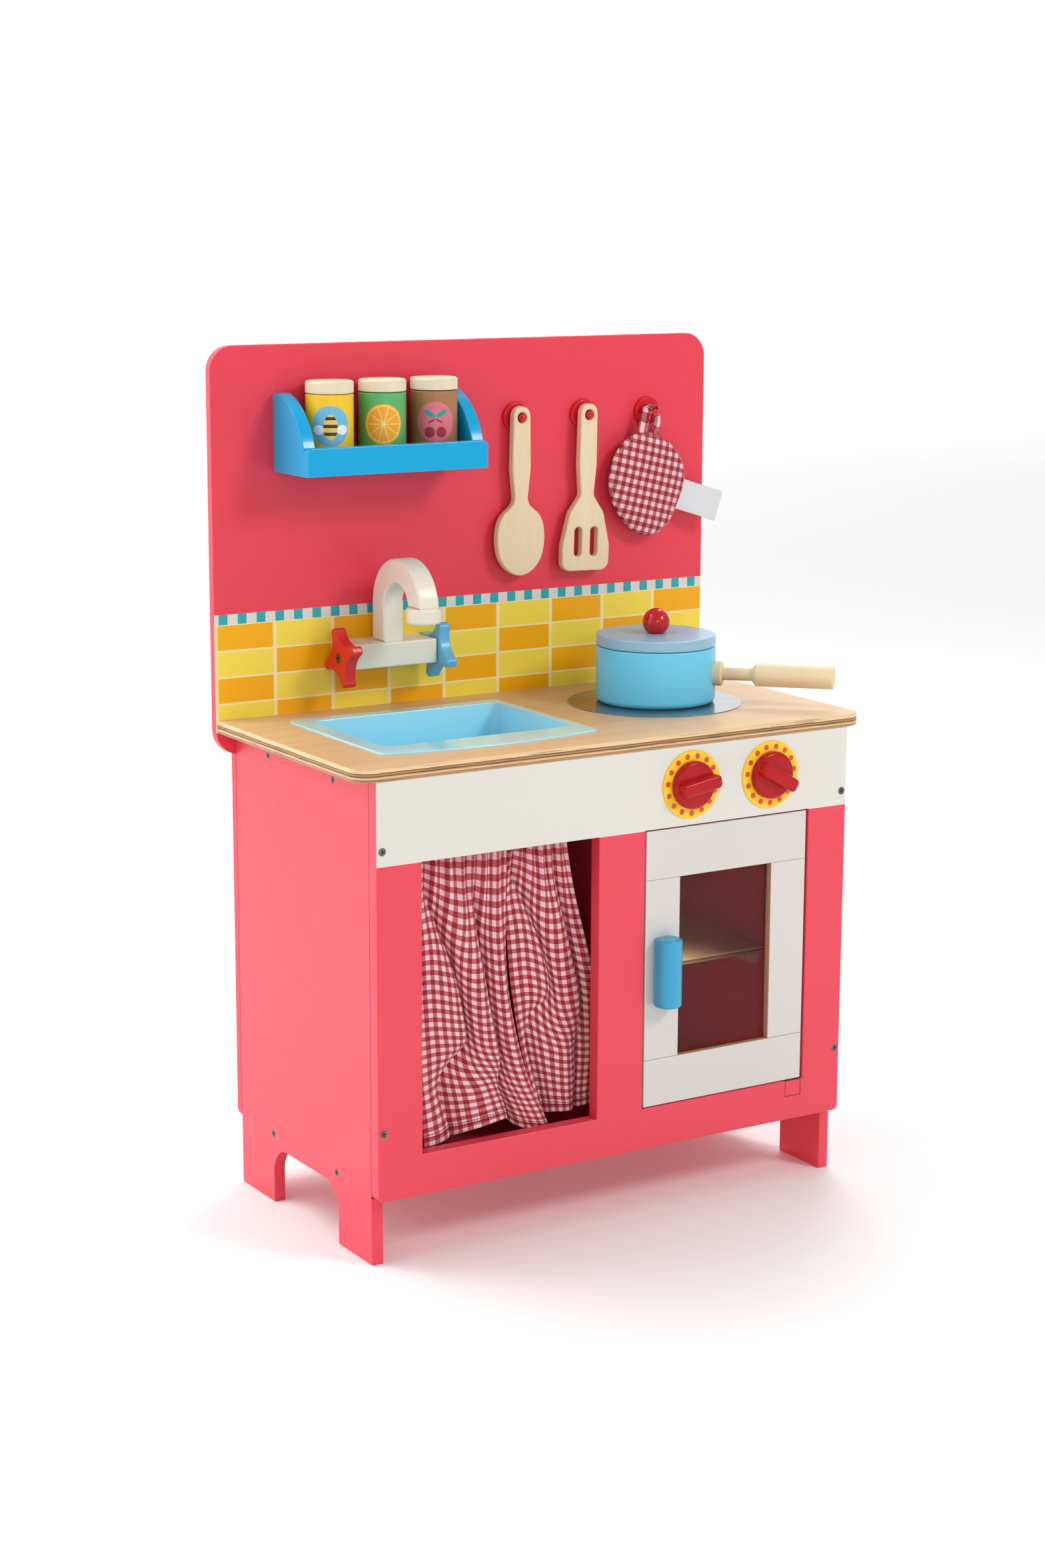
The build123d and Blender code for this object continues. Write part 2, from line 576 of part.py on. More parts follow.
# Star handles: four blunt points with hollow sides, screwed to the base's ends.
STAR_TIP_R = 27.0
STAR_VALLEY_R = 15.0
STAR_TIP_HALF = 4.2
STAR_TURN = 22.0
for side, label in ((-1, "red_star_handle"), (1, "blue_star_handle")):
    star_inner = TAP_X + side * (TAP_BASE_HALF + GAP)
    with BuildPart() as star:
        with BuildSketch(side_plane(star_inner, side)) as star_face:
            with BuildLine():
                for quarter in range(4):
                    tip = quarter * 90 + STAR_TURN
                    ends = []
                    for turn, flip in ((tip, 1), (tip + 90, -1)):
                        ux, uz = cos(radians(turn)), sin(radians(turn))
                        ends.append((
                            side * STAR_Y + STAR_TIP_R * ux - flip * STAR_TIP_HALF * uz,
                            STAR_Z + STAR_TIP_R * uz + flip * STAR_TIP_HALF * ux,
                        ))
                    valley = (
                        side * STAR_Y + STAR_VALLEY_R * cos(radians(tip + 45)),
                        STAR_Z + STAR_VALLEY_R * sin(radians(tip + 45)),
                    )
                    ThreePointArc(ends[0], valley, ends[1])
                    ux, uz = cos(radians(tip)), sin(radians(tip))
                    Line(ends[0], (
                        side * STAR_Y + STAR_TIP_R * ux + STAR_TIP_HALF * uz,
                        STAR_Z + STAR_TIP_R * uz - STAR_TIP_HALF * ux,
                    ))
            make_face()
            fillet(star_face.vertices(), 3.0)
        extrude(amount=STAR_T)
        fillet(star.faces().sort_by(Axis.X)[0].edges(), 1.5)
        fillet(star.faces().sort_by(Axis.X)[-1].edges(), 1.5)
        with BuildSketch(side_plane(star_inner, side)):
            with Locations((side * STAR_Y, STAR_Z)):
                Circle(STAR_SCREW_R + FIT)
        extrude(amount=STAR_T, mode=Mode.SUBTRACT)
        with BuildSketch(side_plane(star_inner + side * (STAR_T - STAR_HEAD_T), side)):
            with Locations((side * STAR_Y, STAR_Z)):
                Circle(STAR_HEAD_R + GAP)
        extrude(amount=STAR_HEAD_T, mode=Mode.SUBTRACT)
    star.part.label = label
    export_step(star.part, f"parts/{label}.step")

with BuildPart() as star_screws:
    for side in (-1, 1):
        seat = TAP_X + side * (TAP_BASE_HALF + GAP + STAR_T - STAR_HEAD_T + GAP)
        with BuildSketch(side_plane(seat, side)):
            with Locations((side * STAR_Y, STAR_Z)):
                Circle(STAR_HEAD_R)
        extrude(amount=STAR_HEAD_T - GAP)
        with BuildSketch(side_plane(seat, side)):
            with Locations((side * STAR_Y, STAR_Z)):
                Circle(STAR_SCREW_R)
        extrude(amount=-(STAR_T + GAP + 8.0))
        with BuildSketch(side_plane(seat + side * (STAR_HEAD_T - GAP), side)):
            with Locations((side * STAR_Y, STAR_Z)):
                Rectangle(5.5, 1.0)
                Rectangle(1.0, 5.5)
        extrude(amount=-1.2, mode=Mode.SUBTRACT)
star_screws.part.label = "star_screws"
export_step(star_screws.part, "parts/star_screws.step")

# --- Fascia knobs ------------------------------------------------------------

DIAL_R = 30.0
DIAL_T = 1.5
KNOB_R = 21.0
KNOB_T = 6.5
KNOB_FACE = FRONT - DIAL_T - GAP - KNOB_T
KNOB_NOSE_Y = FRONT - 17.0
BAR_W = 12.0
BAR = (-19.0, 22.0)
KNOB_TURNS = (9.5, -30.0)
with BuildPart() as dial_plates:
    for x in KNOB_X:
        with BuildSketch(front_plane(FRONT)):
            with Locations((x, KNOB_Z)):
                Circle(DIAL_R)
                Circle(KNOB_SCREW_R + 1.0, mode=Mode.SUBTRACT)
        extrude(amount=DIAL_T)
    fillet(dial_plates.faces().group_by(Axis.Y)[0].edges().filter_by(lambda e: e.radius > DIAL_R - 1), 0.6)
dial_plates.part.label = "dial_plates"
export_step(dial_plates.part, "parts/dial_plates.step")

for x, turn, label in zip(KNOB_X, KNOB_TURNS, ("knob_left", "knob_right")):
    ux, uz = cos(radians(turn)), sin(radians(turn))
    grip_plane = Plane(origin=(x, KNOB_FACE, KNOB_Z), x_dir=(ux, 0, uz), z_dir=(0, -1, 0))
    with BuildPart() as knob:
        with BuildSketch(front_plane(KNOB_FACE + KNOB_T)):
            with Locations((x, KNOB_Z)):
                Circle(KNOB_R)
        extrude(amount=KNOB_T)
        fillet(knob.faces().sort_by(Axis.Y)[0].edges(), 3.0)
        with BuildSketch(grip_plane):
            with Locations(((BAR[0] + BAR[1]) / 2, 0)):
                RectangleRounded(BAR[1] - BAR[0], BAR_W, 4.0)
        extrude(amount=KNOB_FACE - KNOB_NOSE_Y)
        fillet(knob.faces().sort_by(Axis.Y)[0].edges(), 2.5)
        with BuildSketch(front_plane(KNOB_FACE + KNOB_T)):
            with Locations((x, KNOB_Z)):
                Circle(KNOB_SCREW_R)
        extrude(amount=13.0, mode=Mode.SUBTRACT)
    knob.part.label = label
    export_step(knob.part, f"parts/{label}.step")

    # Screw from behind the board: it turns in the board and holds the knob.
    with BuildPart() as knob_screw:
        with BuildSketch(front_plane(INNER + GAP)):
            with Locations((x, KNOB_Z)):
                Circle(KNOB_SCREW_R)
        extrude(amount=GAP + FRONT_T + DIAL_T + GAP + 12.0)
        with BuildSketch(rear_plane(INNER + GAP)):
            with Locations((-x, KNOB_Z)):
                Circle(6.0)
        extrude(amount=3.0)
        fillet(knob_screw.faces().sort_by(Axis.Y)[-1].edges(), 1.2)
        with BuildSketch(rear_plane(INNER + GAP + 3.0)):
            with Locations((-x, KNOB_Z)):
                Rectangle(7.0, 1.1)
                Rectangle(1.1, 7.0)
        extrude(amount=-1.5, mode=Mode.SUBTRACT)
    knob_screw.part.label = f"{label}_screw"
    export_step(knob_screw.part, f"parts/{label}_screw.step")

# --- Saucepan ----------------------------------------------------------------

PAN_X, PAN_Y = 129.2, FRONT + 142.5
PAN_Z = TOP_Z + BURNER_T
PAN_TOP = 478.0
PAN_R = 54.3
PAN_IN_R = 46.0
PAN_FLOOR_T = 8.0
GRIP_TURN = -44.4
GRIP_Z = 453.8
COLLAR_R = 11.2
TENON_R = 4.0
COLLAR_FROM = 50.5
grip_dir = (cos(radians(GRIP_TURN)), sin(radians(GRIP_TURN)), 0)
grip_cross = Plane(origin=(PAN_X, PAN_Y, GRIP_Z), x_dir=(0, 0, 1), z_dir=grip_dir)
with BuildPart() as saucepan_body:
    with BuildSketch(Plane.XY.offset(PAN_Z)):
        with Locations((PAN_X, PAN_Y)):
            Circle(PAN_R)
    extrude(amount=PAN_TOP - PAN_Z)
    fillet(saucepan_body.edges().group_by(Axis.Z)[0], 5.0)
    with BuildSketch(Plane.XY.offset(PAN_Z + PAN_FLOOR_T)):
        with Locations((PAN_X, PAN_Y)):
            Circle(PAN_IN_R)
    extrude(amount=PAN_TOP - PAN_Z, mode=Mode.SUBTRACT)
    fillet(saucepan_body.edges().group_by(Axis.Z)[-1], 1.2)
    with BuildSketch(grip_cross.offset(COLLAR_FROM)):
        Circle(COLLAR_R + FIT)
    extrude(amount=20.0, mode=Mode.SUBTRACT)
    with BuildSketch(grip_cross.offset(PAN_IN_R - 3)):
        Circle(TENON_R + FIT)
    extrude(amount=20.0, mode=Mode.SUBTRACT)
saucepan_body.part.label = "saucepan_body"
export_step(saucepan_body.part, "parts/saucepan_body.step")

# Handle: one turned piece with a tenon, a collar, a thin neck and a fat grip.
NECK_R = 5.8
GRIP_R = 10.4
GRIP_END = 162.5
with BuildPart() as saucepan_handle:
    with BuildSketch(Plane(origin=grip_cross.origin, x_dir=grip_dir, z_dir=(grip_dir[1], -grip_dir[0], 0))):
        with BuildLine():
            Polyline(
                (PAN_IN_R + 0.6, 0), (PAN_IN_R + 0.6, TENON_R),
                (COLLAR_FROM, TENON_R), (COLLAR_FROM, COLLAR_R),
                (61.5, COLLAR_R), (61.5, NECK_R), (88.5, NECK_R), (92.0, GRIP_R),
                (GRIP_END, GRIP_R), (GRIP_END, 0),
                close=True,
            )
        make_face()
    revolve(axis=Axis(grip_cross.origin, grip_dir))
    rounds = saucepan_handle.edges().filter_by(GeomType.CIRCLE)
    fillet(rounds.filter_by(lambda edge: edge.radius > GRIP_R - 0.1), 1.8)
saucepan_handle.part.label = "saucepan_handle"
export_step(saucepan_handle.part, "parts/saucepan_handle.step")

LID_SEAM = 0.5
LID_T = 10.0
LID_SPIGOT = 4.0
with BuildPart() as saucepan_lid:
    with BuildSketch(Plane.XY.offset(PAN_TOP + LID_SEAM)):
        with Locations((PAN_X, PAN_Y)):
            Circle(PAN_R)
    extrude(amount=LID_T)
    fillet(saucepan_lid.edges(), 1.6)
    with BuildSketch(Plane.XY.offset(PAN_TOP + LID_SEAM)):
        with Locations((PAN_X, PAN_Y)):
            Circle(PAN_IN_R - 0.5)
    extrude(amount=-LID_SPIGOT - LID_SEAM)
saucepan_lid.part.label = "saucepan_lid"
export_step(saucepan_lid.part, "parts/saucepan_lid.step")

BALL_R = 12.5
LID_TOP = PAN_TOP + LID_SEAM + LID_T
with BuildPart() as lid_ball:
    with Locations((PAN_X, PAN_Y, LID_TOP + 10.3)):
        Sphere(BALL_R)
    split(bisect_by=Plane.XY.offset(LID_TOP), keep=Keep.TOP)
lid_ball.part.label = "lid_ball"
export_step(lid_ball.part, "parts/lid_ball.step")

# --- Spice shelf and jars ----------------------------------------------------

RACK_FRONT = FRONT + 191.0
RAIL_T = 8.5
RAIL_H = 24.5
RAIL_BACK = RACK_FRONT + RAIL_T
RACK_TOP = 708.5
RACK_FLOOR = RACK_Z + RACK_BOARD_T
with BuildPart() as spice_shelf_board:
    with BuildSketch(Plane.XY.offset(RACK_Z)):
        span(*RACK, RAIL_BACK, WALL)
    extrude(amount=RACK_BOARD_T)
spice_shelf_board.part.label = "spice_shelf_board"
export_step(spice_shelf_board.part, "parts/spice_shelf_board.step")

with BuildPart() as spice_shelf_rail:
    with BuildSketch(front_plane(RAIL_BACK)) as rail_face:
        span(*RACK, RACK_Z, RACK_Z + RAIL_H)
        fillet(rail_face.vertices().group_by(Axis.Y)[-1], 5.0)
    extrude(amount=RAIL_T)
    fillet(spice_shelf_rail.faces().sort_by(Axis.Y)[0].edges(), EASE)
spice_shelf_rail.part.label = "spice_shelf_rail"
export_step(spice_shelf_rail.part, "parts/spice_shelf_rail.step")

with BuildPart() as spice_shelf_ends:
    for x in (RACK[0], RACK[1] - RACK_END_T):
        with BuildSketch(side_plane(x)):
            with BuildLine():
                Polyline(
                    (RAIL_BACK, RACK_Z + RAIL_H), (RAIL_BACK, RACK_FLOOR), (WALL, RACK_FLOOR),
                    (WALL, RACK_TOP), (WALL - 11, RACK_TOP),
                )
                ThreePointArc((WALL - 11, RACK_TOP), (WALL - 38, 692.5), (RAIL_BACK, RACK_Z + RAIL_H))
            make_face()
        extrude(amount=RACK_END_T)
    fillet(spice_shelf_ends.edges().filter_by(GeomType.CIRCLE), EASE)
    with Locations(rear_plane(WALL)):
        with Locations(*[(-x, z) for x, z in BACK_SCREWS if z > 600]):
            Hole(SCREW_R + FIT, SCREW_L - BACK_T + 0.5)
spice_shelf_ends.part.label = "spice_shelf_ends"
export_step(spice_shelf_ends.part, "parts/spice_shelf_ends.step")

JAR_X = (-157.2, -105.2, -53.2)
JAR_Y = FRONT + 228.0
JAR_R = 20.9
JAR_TOP = 708.2
JAR_LID_Z = 709.0
JAR_LID_TOP = 719.6
for x, colour in zip(JAR_X, ("yellow", "green", "brown")):
    with BuildPart() as jar:
        with BuildSketch(Plane.XY.offset(RACK_FLOOR)):
            with Locations((x, JAR_Y)):
                Circle(JAR_R)
        extrude(amount=JAR_TOP - RACK_FLOOR)
        fillet(jar.edges().filter_by(GeomType.CIRCLE), 1.2)
        with BuildSketch(Plane.XY.offset(JAR_TOP)):
            with Locations((x, JAR_Y)):
                Circle(JAR_R - 3)
        extrude(amount=JAR_LID_Z - JAR_TOP)
    jar.part.label = f"{colour}_jar"
    export_step(jar.part, f"parts/{colour}_jar.step")

    with BuildPart() as jar_lid:
        with BuildSketch(Plane.XY.offset(JAR_LID_Z)):
            with Locations((x, JAR_Y)):
                Circle(JAR_R + 0.1)
        extrude(amount=JAR_LID_TOP - JAR_LID_Z)
        fillet(jar_lid.edges().group_by(Axis.Z)[-1], 2.4)
        fillet(jar_lid.edges().group_by(Axis.Z)[0], 0.8)
    jar_lid.part.label = f"{colour}_jar_lid"
    export_step(jar_lid.part, f"parts/{colour}_jar_lid.step")

# --- Hooks and what hangs on them --------------------------------------------

HOOK_DISC_R = 13.5
HOOK_DISC_T = 4.0
PEG_R = 3.75
PEG_END = FRONT + 237.5
with BuildPart() as hooks:
    for x in HOOK_X:
        with BuildSketch(front_plane(WALL)):
            with Locations((x, HOOK_Z)):
                Circle(HOOK_DISC_R)
        extrude(amount=HOOK_DISC_T)
    fillet(hooks.faces().group_by(Axis.Y)[0].edges(), 1.4)
    for x in HOOK_X:
        with BuildSketch(front_plane(WALL)):
            with Locations((x, HOOK_Z)):
                Circle(PEG_R)
        extrude(amount=WALL - PEG_END)
    fillet(hooks.faces().group_by(Axis.Y)[0].edges(), 2.8)
    with Locations(rear_plane(WALL)):
        with Locations(*[(-x, z) for x, z in HOOK_SCREWS]):
            Hole(SCREW_R + FIT, HOOK_SCREW_L - BACK_T + 0.5)
hooks.part.label = "hooks"
export_step(hooks.part, "parts/hooks.step")

# Utensils are cut from board. Their outlines are drawn from the peg hole down,
# on a plane that leans a little as the piece hangs.
TOOL_T = 8.0
TOOL_BACK = FRONT + 249.0
TOOL_TOP = 10.3
TOOL_EASE = 1.6
PEG_HOLE_R = 4.6


def hanging_plane(x, lean):
    """Plane at the back of a utensil that hangs on the peg at x and leans to the left."""
    a = radians(lean)
    return Plane(origin=(x, TOOL_BACK, HOOK_Z), x_dir=(cos(a), 0, -sin(a)), z_dir=(0, -1, 0))


SPOON_LEAN = 0.4
SPATULA_LEAN = 1.4
with BuildPart() as spoon:
    with BuildSketch(hanging_plane(HOOK_X[0], SPOON_LEAN)) as spoon_face:
        with BuildLine():
            for flip in (-1, 1):
                Polyline((flip * 9.0, 1.0), (flip * 9.9, -46.0), (flip * 7.1, -72.0))
            right = [(7.1, -72), (9.2, -79), (18.2, -87), (25.3, -109), (17.5, -135)]
            Spline(*right, (0, -144), *[(-x, y) for x, y in reversed(right)])
            ThreePointArc((9.0, 1.0), (0, TOOL_TOP), (-9.0, 1.0))
        make_face()
        fillet(spoon_face.vertices().group_by(Axis.Y)[-2], 25.0)
        Circle(PEG_HOLE_R, mode=Mode.SUBTRACT)
    extrude(amount=TOOL_T)
    fillet(spoon.faces().sort_by(Axis.Y)[0].edges(), TOOL_EASE)
    fillet(spoon.faces().sort_by(Axis.Y)[-1].edges(), TOOL_EASE)
spoon.part.label = "spoon"
export_step(spoon.part, "parts/spoon.step")

BLADE_SIDE = ((9.0, 1.0), (9.6, -46.0), (7.0, -74.0), (18.5, -90.0), (25.8, -120.0), (25.5, -144.0))
SLOT_X = 8.7
SLOT_W = 8.2
SLOT_L = 27.5
SLOT_Y = -117.0
with BuildPart() as spatula:
    with BuildSketch(hanging_plane(HOOK_X[1], SPATULA_LEAN)) as spatula_face:
        with BuildLine():
            Polyline(*BLADE_SIDE, *[(-x, y) for x, y in reversed(BLADE_SIDE)])
            ThreePointArc((9.0, 1.0), (0, TOOL_TOP), (-9.0, 1.0))
        make_face()
        fillet(spatula_face.vertices().filter_by_position(Axis.Y, -150, -140), 9.0)
        fillet(spatula_face.vertices().filter_by_position(Axis.Y, -122, -118), 30.0)
        fillet(spatula_face.vertices().filter_by_position(Axis.Y, -92, -88), 14.0)
        fillet(spatula_face.vertices().filter_by_position(Axis.Y, -76, -72), 8.0)
        Circle(PEG_HOLE_R, mode=Mode.SUBTRACT)
        with Locations((-SLOT_X, SLOT_Y), (SLOT_X, SLOT_Y)):
            SlotOverall(SLOT_L, SLOT_W, rotation=90, mode=Mode.SUBTRACT)
    extrude(amount=TOOL_T)
    fillet(spatula.faces().sort_by(Axis.Y)[0].edges(), TOOL_EASE)
    fillet(spatula.faces().sort_by(Axis.Y)[-1].edges(), TOOL_EASE)
spatula.part.label = "spatula"
export_step(spatula.part, "parts/spatula.step")

# Pot holder: a quilted pad on a strap loop, with a blank cloth tag.
PAD_OUTLINE = [
    (182, 659), (211, 648.5), (226.4, 618), (215, 583.6),
    (186, 562.8), (159, 577), (141.3, 610), (150, 643),
]
PAD_Y = (FRONT + 236.0, FRONT + 247.0)
LOOP_R = 8.0
LOOP_FOOT = (172.5, 194.0, 652.0, 656.0)
with BuildPart() as pot_holder:
    with BuildSketch(front_plane(PAD_Y[1])):
        with BuildLine():
            Spline(*PAD_OUTLINE, periodic=True)
        make_face()
    extrude(amount=PAD_Y[1] - PAD_Y[0])
pot_holder.part.label = "pot_holder"
export_step(pot_holder.part, "parts/pot_holder.step")

with BuildPart() as holder_loop:
    with BuildSketch(front_plane(FRONT + 245.0)) as loop_face:
        with Locations((HOOK_X[2], HOOK_Z)):
            Circle(LOOP_R)
        span(*LOOP_FOOT)
        make_hull()
        with Locations((HOOK_X[2], HOOK_Z)):
            Circle(PEG_R + GAP, mode=Mode.SUBTRACT)
    extrude(amount=6.0)
holder_loop.part.label = "holder_loop"
export_step(holder_loop.part, "parts/holder_loop.step")

TAG_AT = (240.5, 595.0)
TAG_SIZE = (42.0, 28.0)
with BuildPart() as holder_tag:
    with BuildSketch(front_plane(PAD_Y[0] - GAP)):
        with Locations(Location((*TAG_AT, 0), (0, 0, -18.0))):
            Rectangle(*TAG_SIZE)
    extrude(amount=0.8)
holder_tag.part.label = "holder_tag"
export_step(holder_tag.part, "parts/holder_tag.step")
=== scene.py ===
"""The toy kitchen as it is put together: carcass, worktop, door, curtains and the loose things on it."""
import math

import bpy
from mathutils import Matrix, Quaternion, Vector, noise


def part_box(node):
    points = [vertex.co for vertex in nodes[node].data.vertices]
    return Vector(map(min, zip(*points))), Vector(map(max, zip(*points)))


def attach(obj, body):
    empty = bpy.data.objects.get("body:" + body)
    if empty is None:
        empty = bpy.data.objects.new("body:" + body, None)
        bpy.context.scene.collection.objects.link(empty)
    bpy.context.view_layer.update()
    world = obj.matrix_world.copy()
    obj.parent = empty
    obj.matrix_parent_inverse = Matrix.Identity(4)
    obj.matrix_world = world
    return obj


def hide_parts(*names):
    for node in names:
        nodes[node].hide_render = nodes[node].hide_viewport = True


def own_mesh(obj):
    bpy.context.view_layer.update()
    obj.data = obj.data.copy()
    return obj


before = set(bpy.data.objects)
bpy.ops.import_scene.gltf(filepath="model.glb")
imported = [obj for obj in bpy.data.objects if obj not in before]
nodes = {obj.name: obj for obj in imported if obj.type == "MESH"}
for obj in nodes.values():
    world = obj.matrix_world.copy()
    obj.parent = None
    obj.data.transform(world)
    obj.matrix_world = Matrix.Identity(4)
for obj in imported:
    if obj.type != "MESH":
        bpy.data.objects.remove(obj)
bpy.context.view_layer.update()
scene = bpy.context.scene
MM = 0.001

# Camera: it stands to the left of the front, a little above the worktop, with a longish lens that
# keeps the uprights almost parallel.
CAMERA_PLACE = Vector((-1.3097, -2.0723, 0.8805))
CAMERA_BACK = Vector((-0.51558, -0.83187, 0.20535))
CAMERA_ROLL = math.radians(0.22)
camera_lens = bpy.data.cameras.new("camera")
camera_lens.lens = 64.97
camera = bpy.data.objects.new("camera", camera_lens)
camera.location = CAMERA_PLACE
camera.rotation_mode = "QUATERNION"
level_look = (-CAMERA_BACK).to_track_quat("-Z", "Y")
camera.rotation_quaternion = level_look @ Quaternion((0, 0, 1), CAMERA_ROLL)
scene.collection.objects.link(camera)
scene.camera = camera


# Side panels and front board: birch ply sawn with arches and openings, sprayed raspberry red on every
# face. The top of the front board is masked off and sprayed white as a fascia for the dials.
class Wire:
    """An output of a shader node. Sums written on it become Math nodes."""

    def __init__(self, tree, socket=None):
        self.tree = tree
        self.socket = socket

    def node(self, kind, settings=None, inputs=None, output=0):
        """Adds a node: its settings first, then a value or a wire for each socket, by name or number."""
        made = self.tree.nodes.new("ShaderNode" + kind)
        for name, value in (settings or {}).items():
            if name == "stops":
                set_stops(made.color_ramp, value)
            else:
                setattr(made, name, value)
        for name, value in (inputs or {}).items():
            if isinstance(value, Wire):
                self.tree.links.new(value.socket, made.inputs[name])
            else:
                made.inputs[name].default_value = value
        return Wire(self.tree, made.outputs[output])

    def maths(self, operation, *values):
        return self.node("Math", {"operation": operation}, dict(enumerate(values)))

    def __add__(self, other):
        return self.maths("ADD", self, other)

    def __radd__(self, other):
        return self.maths("ADD", other, self)

    def __sub__(self, other):
        return self.maths("SUBTRACT", self, other)

    def __rsub__(self, other):
        return self.maths("SUBTRACT", other, self)

    def __mul__(self, other):
        return self.maths("MULTIPLY", self, other)

    def __rmul__(self, other):
        return self.maths("MULTIPLY", other, self)

    def __truediv__(self, other):
        return self.maths("DIVIDE", self, other)

    def __gt__(self, other):
        return self.maths("GREATER_THAN", self, other)

    def __lt__(self, other):
        return self.maths("LESS_THAN", self, other)

    def __abs__(self):
        return self.maths("ABSOLUTE", self)

    def within(self, low, high):
        """1 between two values, 0 outside them."""
        return (self > low) * (self < high)

    def pick(self, low, high):
        """The colour low where this is 0, the colour high where it is 1."""
        return self.node("Mix", {"data_type": "RGBA"}, {0: self, 6: low, 7: high}, output=2)

    def shade(self, colour, darkest):
        """The colour, darkened to this share of itself where this is 1."""
        return self.node(
            "Mix",
            {"data_type": "RGBA", "blend_type": "MULTIPLY"},
            {0: self, 6: colour, 7: (darkest, darkest, darkest, 1.0)},
            output=2,
        )

    def axes(self):
        """The three parts of a place or a direction."""
        split = self.node("SeparateXYZ", None, {0: self}).socket.node
        return [Wire(self.tree, out) for out in split.outputs]

    def stretched(self, scale, turn=(0.0, 0.0, 0.0)):
        return self.node("Mapping", None, {"Vector": self, "Rotation": turn, "Scale": scale})

    def cloud(self, scale, detail=2.0, distortion=0.0):
        """Noise from 0 to 1 at this place."""
        return self.node(
            "TexNoise", None, {"Vector": self, "Scale": scale, "Detail": detail, "Distortion": distortion}
        )

    def bump(self, strength, distance):
        return self.node("Bump", None, {"Height": self, "Strength": strength, "Distance": distance})


def set_stops(ramp, stops):
    """Gives a colour ramp its (position, colour) stops."""
    while len(ramp.elements) < len(stops):
        ramp.elements.new(1.0)
    for element, (position, colour) in zip(ramp.elements, stops):
        element.position = position
        element.color = colour


def paint(code):
    """The linear colour of a six-digit paint code."""
    parts = [int(code[i : i + 2], 16) / 255 for i in (0, 2, 4)]
    return tuple(((p + 0.055) / 1.055) ** 2.4 if p > 0.04 else p / 12.92 for p in parts) + (1.0,)


def new_finish(name, roughness, coat=0.0):
    """A material, its shader, and the place on the surface from which its pattern grows."""
    finish = bpy.data.materials.new(name)
    finish.use_nodes = True
    shader = finish.node_tree.nodes["Principled BSDF"]
    shader.inputs["Roughness"].default_value = roughness
    shader.inputs["Coat Weight"].default_value = coat
    shader.inputs["Coat Roughness"].default_value = 0.08
    place = Wire(finish.node_tree).node("TexCoord", output="Object")
    return finish, shader, place


def feed(shader, socket, wire):
    wire.tree.links.new(wire.socket, shader.inputs[socket])


def facing(place):
    """The three parts of the surface's direction."""
    return place.node("TexCoord", output="Normal").axes()


def sprayed(name, colour, roughness=0.36, coat=0.0, pattern=None, stipple=0.10, haze=0.5):
    """Sprayed paint on wood: the coat varies a little in depth, and has a fine stipple."""
    finish, shader, place = new_finish(name, roughness, coat)
    shader.inputs["Specular IOR Level"].default_value = haze
    base = pattern(place, colour) if pattern else colour
    drift = place.cloud(7.0, 3.0)
    feed(shader, "Base Color", (drift * 0.4).shade(base, 0.86))
    feed(shader, "Roughness", roughness - 0.06 + place.cloud(45.0) * 0.12)
    skin = place.cloud(650.0) + place.stretched((40.0, 400.0, 40.0)).cloud(1.0, 3.0) * 0.5
    feed(shader, "Normal", skin.bump(stipple, 0.0004))
    return finish


def coat_nodes(finish, *names):
    """Gives these CAD nodes their finish."""
    for name in names:
        nodes[name].material_slots[0].material = finish


RASPBERRY = paint("EC4254")
FASCIA_WHITE = paint("E1DED6")
FASCIA_FOOT = 344.3 * MM


def fascia(place, colour):
    """White above the masking line on the front face, red elsewhere."""
    height = place.axes()[2]
    front = facing(place)[1] < -0.5
    return ((height > FASCIA_FOOT) * front).pick(colour, FASCIA_WHITE)


coat_nodes(sprayed("red_paint", RASPBERRY), "bottom_board", "middle_divider")
PANEL_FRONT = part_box("side_panel_left")[0].y
PANEL_SEAM = 0.7 * MM


def panel_seam(place, colour):
    """A fine dark line where a side panel meets the back of the front board."""
    _, deep, up = place.axes()
    behind_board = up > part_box("front_board")[0].z
    return ((deep < PANEL_FRONT + PANEL_SEAM) * behind_board).pick(colour, paint("6E141E"))


side_paint = sprayed("red_paint_side", RASPBERRY, 0.32, pattern=panel_seam)
coat_nodes(side_paint, "side_panel_left", "side_panel_right")
coat_nodes(sprayed("red_paint_with_fascia", RASPBERRY, pattern=fascia), "front_board")
BLOCK_LOW, BLOCK_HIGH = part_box("hinge_block")
BLOCK_SEAM = 0.8 * MM


def block_seam(place, colour):
    """The fine dark joint round the hinge block that is let into the front board."""
    across, _, up = place.axes()
    middle = across.within(BLOCK_LOW.x + BLOCK_SEAM, BLOCK_HIGH.x - BLOCK_SEAM)
    middle = middle * up.within(BLOCK_LOW.z + BLOCK_SEAM, BLOCK_HIGH.z - BLOCK_SEAM)
    return middle.pick(paint("7A1822"), colour)


coat_nodes(sprayed("red_paint_block", RASPBERRY, pattern=block_seam), "hinge_block")

# Back board: one tall board, sprayed red, with a printed film of glazed tiles and a checker border
# rolled on above the worktop.
TILE_WIDTH = 57.3 * MM
TILE_HEIGHT = 23.3 * MM
TILE_LEFT = -199.5 * MM
TILE_TOP = 509.8 * MM
UPRIGHT_GROUT = 3.4 * MM
LEVEL_GROUT = 1.6 * MM
BORDER_TOP = 518.8 * MM
CHECKER_PITCH = 18.35 * MM
CHECKER_LEFT = -253.7 * MM
CHECKER_SIDE = 8.6 * MM
ORANGE_TILE = paint("FFB400")
YELLOW_TILE = paint("FFE250")
GROUT = paint("FFE9B0")
TEAL = paint("2BAAB5")
WORKTOP_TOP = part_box("worktop")[1].z
FILM_TUCK = 11 * MM


